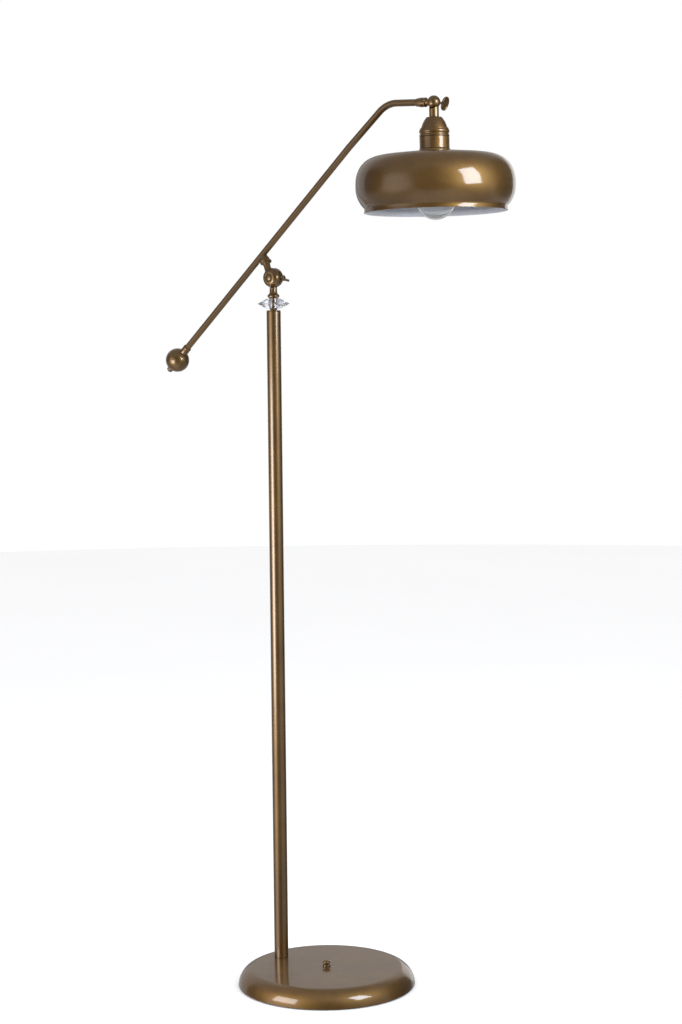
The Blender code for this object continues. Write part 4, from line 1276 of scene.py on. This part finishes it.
@dataclass
class Lampholder:
    """The lampholder cover and its rings, with the porcelain holder inside.

    Attributes:
        place: Frame of the lamp head.
    """

    place: Matrix

    def build_cover(self) -> None:
        """Spin the cover: a bell, a beaded band, a sleeve and the ring on the shade."""
        bell = [(5.4, -24.6), (12.2, -24.6)] + arc((12.2, -26.2), (1.6, 1.6), 80.0, 30.0, 5)
        bell += [(16.4, -29.4), (18.8, -33.6), (20.5, -37.9), (22.0, -42.4), (22.2, -43.7), (21.0, -43.7),
                 (20.8, -42.8), (19.3, -38.5), (17.6, -34.2), (15.3, -30.2), (13.3, -26.9), (12.0, -25.8),
                 (5.4, -25.8)]
        band = [(22.6, -42.4), (23.4, -42.4), (23.8, -43.0), (23.9, -43.8)]
        band += arc((23.2, -47.6), (1.9, 3.3), 58.0, -58.0, 12)
        band += [(23.9, -51.5), (23.9, -52.6), (24.8, -53.4), (25.0, -54.3), (24.9, -55.3), (24.3, -56.2),
                 (21.4, -56.2), (21.4, -44.2), (22.6, -44.2)]
        sleeve = [(23.5, -75.5), (24.7, -75.5), (24.7, -56.5), (23.5, -56.5)]
        lip = [(21.0, -80.3), (26.4, -80.3), (26.9, -79.7), (26.8, -78.5), (26.1, -77.1), (25.5, -76.2),
               (24.9, -75.8), (21.0, -75.8)]
        self.make("spun_holder_cap", bell, "holder_cap")
        self.make("beaded_holder_band", band, "holder_band")
        self.make("spun_holder_sleeve", sleeve, "holder_sleeve")
        self.make("shade_ring_spun", lip, "shade_ring")

    def make(self, name: str, outline: Outline, node: str, finish: Finishes = Finishes.BRONZE) -> None:
        """Turn one ring of the lampholder on the head's axis.

        Args:
            name: The piece's name.
            outline: Its outline, which is then closed.
            node: The node it stands for.
            finish: Its finish.
        """
        lathed(name, ring(outline), "head", node, self.place, finish=finish, steps=96)

    def build_holder(self) -> None:
        """Make the porcelain body, its thread and the ring that clamps the shade."""
        core = [(0.0, -46.0), (17.5, -46.0), (19.5, -48.0), (19.5, -92.0), (15.2, -92.0), (15.2, -56.0),
                (0.0, -56.0)]
        lathed(
            "porcelain_holder", core, "head", "holder_core", self.place, finish=Finishes.PORCELAIN, ease=0.8
        )
        thread = self.thread_wave(14.25, -87.6, -62.4, 0.3)
        shell = [(14.6, -88.0)] + [(14.6, -62.0), (13.9, -62.0)] + list(reversed(thread)) + [(13.9, -88.0)]
        self.make("holder_screw_shell", shell, "holder_thread", Finishes.STEEL)
        grooves: Outline = []
        for index in range(3):
            height = -86.6 + index * 1.7
            grooves += [(25.0, height), (24.6, height + 0.4), (25.0, height + 0.8)]
        clamp = [(19.9, -87.7), (25.0, -87.7)] + grooves + [(25.0, -82.3), (19.9, -82.3)]
        self.make("shade_clamp_ring_moulded", clamp, "shade_clamp_ring", Finishes.PHENOLIC)

    @staticmethod
    def thread_wave(radius: float, low: float, high: float, depth: float) -> Outline:
        """Outline of a rolled lamp thread.

        Args:
            radius: Middle radius.
            low: Its low end.
            high: Its high end.
            depth: Height of the waves from the middle.

        Returns:
            Points from the low end to the high end.
        """
        pitch, steps = 3.6, 8
        count = round((high - low) / pitch * steps)
        return [(radius + depth * math.cos(math.tau * step / steps), low + pitch * step / steps)
                for step in range(count + 1)]

    def build(self) -> None:
        """Make every piece of the lampholder."""
        self.build_cover()
        self.build_holder()


@dataclass
class Shade:
    """The spun metal shade: domed crown, round shoulder, waist and flared rim.

    Attributes:
        place: Frame of the lamp head.
        hole: Radius and height of the hole for the lampholder.
        crown: Radius and height where the shoulder starts.
        belly: Widest radius and its height.
        fullness: Exponent of the shoulder's curve, which is 2 for an ellipse.
        tuck: Radius and height of the ellipse that turns in under the belly.
        tuck_size: Half width and half height of that ellipse.
        waist: Narrowest radius and its height.
        rim: Radius and height of the rim.
        wall: Thickness of the metal.
    """

    place: Matrix
    hole: Point = (20.3, -80.6)
    crown: Point = (88.0, -86.3)
    belly: Point = (131.3, -134.0)
    fullness: float = 2.25
    tuck: Point = (93.0, -137.7)
    tuck_size: Point = (38.3, 42.5)
    waist: Point = (117.4, -172.4)
    rim: Point = (118.2, -178.3)
    wall: float = 1.0

    def outline(self) -> Outline:
        """The outside of the shade, from the hole to the rim."""
        top = self.hole[1]
        points = [self.hole, (32.0, top - 0.4), (45.0, top - 1.0), (60.0, top - 2.1), (76.0, top - 3.9)]
        width, depth = self.belly[0] - self.crown[0], self.crown[1] - self.belly[1]
        power = 2.0 / self.fullness
        for step in range(37):
            turn = math.radians(90.0 * step / 36)
            points.append((self.crown[0] + width * math.sin(turn) ** power,
                           self.belly[1] + depth * abs(math.cos(turn)) ** power))
        points += arc(self.tuck, self.tuck_size, 0.0, -48.0, 17)
        narrow, low = self.waist
        points += [(narrow + 0.25, low + 1.6), (narrow, low - 0.2), (narrow, low - 1.6),
                   (narrow + 0.2, low - 3.6),
                   self.rim]
        return points

    def build(self) -> None:
        """Spin the shell, give it its wall and enamel it inside."""
        shell = turned("spun_shade", self.outline(), 160)
        face_outwards(shell)
        shell.data.materials.append(Finishes.BRONZE.value.material())
        # The inside gets the enamel, painted light grey as painted shade for the dim inside of the shade.
        shell.data.materials.append(Finishes.ENAMEL.value.material())
        modified(
            shell, "SOLIDIFY", thickness=self.wall * MM, offset=-1.0, use_even_offset=True, material_offset=1
        )
        bevelled(shell, 0.3, 60.0, 2)
        finished(settled(shell, self.place), Finishes.BRONZE, "head", "shade")


@dataclass
class Bulb:
    """The clear bulb: blown glass on a screw cap, with its stem and filament.

    Attributes:
        place: Frame of the lamp head.
        radius: Radius of the belly.
        belly: Height of the belly's centre.
        wall: Thickness of the glass.
        filament: Height of the filament.
        span: Half of the filament's width.
    """

    place: Matrix
    radius: float = 32.3
    belly: float = -159.0
    wall: float = 0.8
    filament: float = -150.0
    span: float = 15.0

    def make(
        self, name: str, outline: Outline, node: str, finish: Finishes, steps: int, smooth: float = 60.0
    ) -> None:
        """Turn one piece of the bulb on the head's axis, with its outline's own edges.

        Args:
            name: The piece's name.
            outline: Its outline.
            node: The node it stands for.
            finish: Its finish.
            steps: Sides of each ring.
            smooth: Edges that turn less than this many degrees are shaded smooth.
        """
        lathed(name, outline, "head", node, self.place, finish=finish, ease=0.0, steps=steps, smooth=smooth)

    def build_glass(self) -> None:
        """Blow the glass, with an outside and an inside."""
        neck = [(30.0, -144.0), (28.2, -138.8), (26.0, -133.0), (23.4, -126.4), (20.4, -119.0),
                (17.9, -112.2),
                (15.8, -106.0), (14.4, -101.2), (13.6, -97.0), (13.3, -93.6), (13.2, -90.6)]
        outer = arc((0.0, self.belly), (self.radius, self.radius), -90.0, 24.0, 30) + neck[1:]
        inner_radius = self.radius - self.wall
        inner = arc((0.0, self.belly), (inner_radius, inner_radius), -90.0, 24.0, 30)
        inner += [(radius - self.wall, height) for radius, height in neck[1:]]
        outline = [(0.0, outer[0][1])] + outer[1:] + list(reversed(inner[1:])) + [(0.0, inner[0][1])]
        self.make("blown_bulb_glass", outline, "bulb_glass", Finishes.BULB, 96)

    def build_cap(self) -> None:
        """Draw the screw cap with its rolled thread."""
        thread = Lampholder.thread_wave(12.95, -88.0, -70.4, 0.3)
        outline = [(0.0, -63.3), (4.6, -63.3), (5.4, -65.0), (12.4, -67.5), (13.0, -69.2)]
        outline += list(reversed(thread)) + [(13.3, -90.3), (12.2, -90.3), (12.2, -71.0), (0.0, -71.0)]
        self.make("drawn_bulb_cap", outline, "bulb_cap", Finishes.ALUMINIUM, 72, 35.0)

    def build_inside(self) -> None:
        """Press the glass stem and wind the filament on its two wires."""
        stem = [(0.0, -94.0), (9.0, -94.0), (7.2, -96.4), (4.6, -100.6), (3.2, -105.0), (2.8, -112.0),
                (2.6, -121.0),
                (3.1, -122.2), (2.8, -123.4), (1.6, -124.0), (0.0, -124.0)]
        self.make("pressed_bulb_stem", stem, "bulb_stem", Finishes.BULB, 48)
        wire = Vector((-3.5, 0.0, -112.0)), Vector((-self.span, 0.0, self.filament))
        turns = 44
        coil = [Vector((
            -self.span + 2.0 * self.span * step / (turns * 8),
            0.55 * math.cos(math.tau * step / 8),
            self.filament - 2.6 * math.sin(math.pi * step / (turns * 8))
            + 0.55 * math.sin(math.tau * step / 8),
        )) for step in range(turns * 8 + 1)]
        far = Vector((self.span, 0.0, self.filament)), Vector((3.5, 0.0, -112.0))
        route = [wire[0], wire[0].lerp(wire[1], 0.5), wire[1]] + coil
        route += [far[0], far[0].lerp(far[1], 0.5), far[1]]
        deselect()
        bpy.ops.curve.primitive_nurbs_path_add(radius=MM, location=(0.0, 0.0, 0.0))
        curve = named("wound_filament")
        curve.data.splines.clear()
        spline = curve.data.splines.new("POLY")
        spline.points.add(len(route) - 1)
        for point, place in zip(spline.points, route):
            point.co = (*(place * MM), 1.0)
        curve.data.bevel_depth = 0.16 * MM
        curve.data.bevel_resolution = 1
        curve.data.use_fill_caps = True
        bpy.ops.object.convert(target="MESH")
        finished(settled(bpy.context.object, self.place), Finishes.TUNGSTEN, "head", "bulb_filament")

    def build(self) -> None:
        """Make every piece of the bulb."""
        self.build_glass()
        self.build_cap()
        self.build_inside()


# --- inner pieces


@dataclass
class InnerPieces:
    """The pieces inside the lamp, which keep the frame's own shapes."""

    finishes: dict[Finishes, tuple[str, ...]] = field(default_factory=lambda: {
        Finishes.CAST_IRON: ("base_weight",),
        Finishes.STEEL: ("base_nipple", "base_washer", "base_nut", "column_foot_bush", "arm_end_plug",
                         "counterweight_stud", "holder_contact", "holder_nipple", "holder_nut"),
        Finishes.PHENOLIC: ("foot_switch_body",),
        Finishes.JACKET: ("base_flex", "column_flex", "arm_flex", "holder_flex"),
    })

    def build(self) -> None:
        """Give each of them its finish."""
        for finish, nodes in self.finishes.items():
            for node in nodes:
                for slot in frame["nodes"][node].material_slots:
                    slot.material = finish.value.material()
                LOG.info("%s: %s", node, finish.value.name)


# --- studio


@dataclass
class Viewpoint:
    """The camera: where it stands round the lamp and how it is held.

    Attributes:
        distance: From the lamp's origin, along the floor, in mm.
        azimuth: Direction from the lamp, in degrees from -Y towards +X.
        height: Height over the floor, in mm.
        yaw: Turn off the lamp's origin, in degrees.
        pitch: Upward tilt, in degrees.
        roll: Turn about the line of sight, in degrees.
        lens: Focal length, in mm, for a 36 mm frame on the long side.
    """

    distance: float = 3691.5
    azimuth: float = 38.06
    height: float = 1132.2
    yaw: float = -0.5116
    pitch: float = -4.6436
    roll: float = -0.5547
    lens: float = 75.296

    def build(self) -> None:
        """Add the camera and make it the scene's."""
        around, heading = math.radians(self.azimuth), math.radians(self.azimuth + self.yaw)
        pitch, roll = math.radians(self.pitch), math.radians(self.roll)
        forward = Vector((
            -math.sin(heading) * math.cos(pitch), math.cos(heading) * math.cos(pitch), math.sin(pitch)
        ))
        right = Vector((math.cos(heading), math.sin(heading), 0.0))
        up = right.cross(forward)
        across = right * math.cos(roll) + up * math.sin(roll)
        upright = up * math.cos(roll) - right * math.sin(roll)
        turn = Matrix((across, upright, -forward)).transposed()
        place = Vector((
            self.distance * math.sin(around), -self.distance * math.cos(around), self.height
        )) * MM
        deselect()
        bpy.ops.object.camera_add()
        camera = bpy.context.object
        camera.name = "camera"
        camera.matrix_world = Matrix.Translation(place) @ turn.to_4x4()
        camera.data.lens = self.lens
        camera.data.sensor_width = 36.0
        camera.data.clip_end = 50.0
        bpy.context.scene.camera = camera


@dataclass(frozen=True)
class Softbox:
    """A rectangular studio light that faces the lamp.

    Attributes:
        name: Its name.
        side: Direction from the lamp, in degrees to the right of the camera.
        distance: Distance from the lamp's axis, in metres.
        height: Height of its middle, in metres.
        size: Width and height, in metres.
        power: Power, in watts.
        lean: How far its top leans to the left as seen from the lamp, in degrees.
        tint: Colour of its light, sRGB hex.
        flagged: Pieces that a black flag keeps its light off.
    """

    name: str
    side: float
    distance: float
    height: float
    size: Point
    power: float
    lean: float = 0.0
    tint: str = "#FFFFFF"
    flagged: tuple[str, ...] = ()

    def build(self, azimuth: float) -> None:
        """Hang the light.

        Args:
            azimuth: The camera's direction from the lamp, in degrees.
        """
        angle = math.radians(azimuth + self.side)
        place = Vector((self.distance * math.sin(angle), -self.distance * math.cos(angle), self.height))
        deselect()
        bpy.ops.object.light_add(type="AREA", location=place)
        light = bpy.context.object
        light.name = self.name
        hanging = Matrix.Rotation(angle, 4, "Z") @ Matrix.Rotation(math.pi / 2, 4, "X")
        leaning = Matrix.Rotation(math.radians(self.lean), 4, "Z")
        light.matrix_world = Matrix.Translation(place) @ hanging @ leaning
        light.data.shape = "RECTANGLE"
        light.data.size, light.data.size_y = self.size
        light.data.energy = self.power
        light.data.color = linear(self.tint)[:3]
        if self.flagged:
            flag = bpy.data.collections.new(self.name + "_flag")
            for name in self.flagged:
                flag.objects.link(bpy.data.objects[name])
            for shaded in flag.collection_objects:
                shaded.light_linking.link_state = "EXCLUDE"
            light.light_linking.receiver_collection = flag


@dataclass(frozen=True)
class Glow:
    """One bright or dark part of the room, as glossy metal mirrors it.

    Attributes:
        side: Direction of its middle, in degrees to the right of the camera.
        lift: Height of its middle over the horizon, in degrees.
        inner: Angle from its middle within which it has its full brightness, in degrees.
        outer: Angle past which it has faded out.
        brightness: Its brightness.
    """

    side: float
    lift: float
    inner: float
    outer: float
    brightness: float


@dataclass
class Studio:
    """Seamless white floor, two softboxes and a surround that metal mirrors.

    Attributes:
        softboxes: The two lights.
        floor: Radius of the paper floor, in metres.
        room: Brightness of the room where it has no glow.
        glows: The bounce off the floor, the dark front, the bounce on the left, the two dark sides, the
            backdrop, its window on the right, and the lamp's own shadow on it.
        fill: Brightness that matt surfaces get from all round.
    """

    softboxes: tuple[Softbox, ...] = (
        Softbox("key_softbox", 48.0, 2.3, 1.84, (0.95, 1.35), 46.0, 16.0, "#E1F0FF"),
        Softbox(
            "low_softbox", -55.0, 1.6, 0.62, (0.9, 0.8), 14.0, 0.0, "#F4F8FF",
            ("spun_shade", "bent_arm_tube"),
        ),
    )
    floor: float = 8.0
    room: float = 0.36
    glows: tuple[Glow, ...] = (
        Glow(0.0, -62.0, 6.0, 46.0, 0.6),
        Glow(-4.0, 2.0, 12.0, 44.0, 0.1),
        Glow(-62.0, -5.0, 2.0, 33.0, 0.95),
        Glow(-108.0, 6.0, 14.0, 30.0, 0.12),
        Glow(119.0, 8.0, 21.0, 40.0, 0.08),
        Glow(-171.0, 4.0, 44.0, 46.5, 0.5),
        Glow(160.0, 5.0, 15.0, 16.5, 1.15),
        Glow(180.0, -4.0, 8.0, 19.0, 0.2),
    )
    fill: float = 1.15

    def build_floor(self) -> None:
        """Roll out the paper, which glossy metal doesn't mirror."""
        deselect()
        bpy.ops.mesh.primitive_circle_add(vertices=96, radius=self.floor, fill_type="NGON")
        floor = named("studio_floor")
        floor.data.materials.append(Finishes.PAPER.value.material())
        floor.visible_glossy = False

    def build_surround(self, azimuth: float) -> None:
        """Light the room: white behind the lamp, and with its glows where metal mirrors it.

        Args:
            azimuth: The camera's direction from the lamp, in degrees.
        """
        world = bpy.data.worlds.new("studio_surround")
        bpy.context.scene.world = world
        world.use_nodes = True
        tree = world.node_tree
        background = tree.nodes["Background"]
        direction = add_node(tree, "ShaderNodeTexCoord").outputs["Generated"]
        mirrored: NodeSocket | float = self.room
        for glow in self.glows:
            angle, lift = math.radians(azimuth + glow.side), math.radians(glow.lift)
            middle = (math.sin(angle) * math.cos(lift), -math.cos(angle) * math.cos(lift), math.sin(lift))
            nearness = add_node(
                tree, "ShaderNodeVectorMath", {0: direction, 1: middle}, operation="DOT_PRODUCT"
            ).outputs["Value"]
            mirrored = add_node(
                tree, "ShaderNodeMapRange",
                {"Value": nearness, "From Min": math.cos(math.radians(glow.outer)),
                 "From Max": math.cos(math.radians(glow.inner)),
                  "To Min": mirrored, "To Max": glow.brightness},
                interpolation_type="SMOOTHSTEP",
            ).outputs["Result"]
        path = add_node(tree, "ShaderNodeLightPath")
        matt = add_node(
            tree, "ShaderNodeMapRange",
            {"Value": path.outputs["Is Diffuse Ray"], "To Min": mirrored, "To Max": self.fill},
        ).outputs["Result"]
        seen = add_node(
            tree, "ShaderNodeMapRange",
            {"Value": path.outputs["Is Camera Ray"], "To Min": matt, "To Max": 1.0},
        ).outputs["Result"]
        tree.links.new(seen, background.inputs["Strength"])
        background.inputs["Color"].default_value = linear("#FFFFFF")

    def build(self, azimuth: float) -> None:
        """Set up the studio.

        Args:
            azimuth: The camera's direction from the lamp, in degrees.
        """
        self.build_floor()
        self.build_surround(azimuth)
        for softbox in self.softboxes:
            softbox.build(azimuth)
        bpy.context.scene.view_settings.view_transform = "Standard"


def main() -> None:
    """Build the lamp in order, from the floor to the bulb, and set up the studio."""
    logging.basicConfig(level=logging.INFO, format="%(name)s: %(message)s")
    viewpoint = Viewpoint()
    viewpoint.build()
    Base().build()
    FootSwitch().build()
    Column().build()
    arm = Arm()
    Knuckle(arm).build()
    arm.build()
    joint = HeadJoint(arm)
    joint.build()
    head = joint.head_place()
    Lampholder(head).build()
    Shade(head).build()
    Bulb(head).build()
    InnerPieces().build()
    Studio().build(viewpoint.azimuth)


if __name__ == "__main__":
    main()
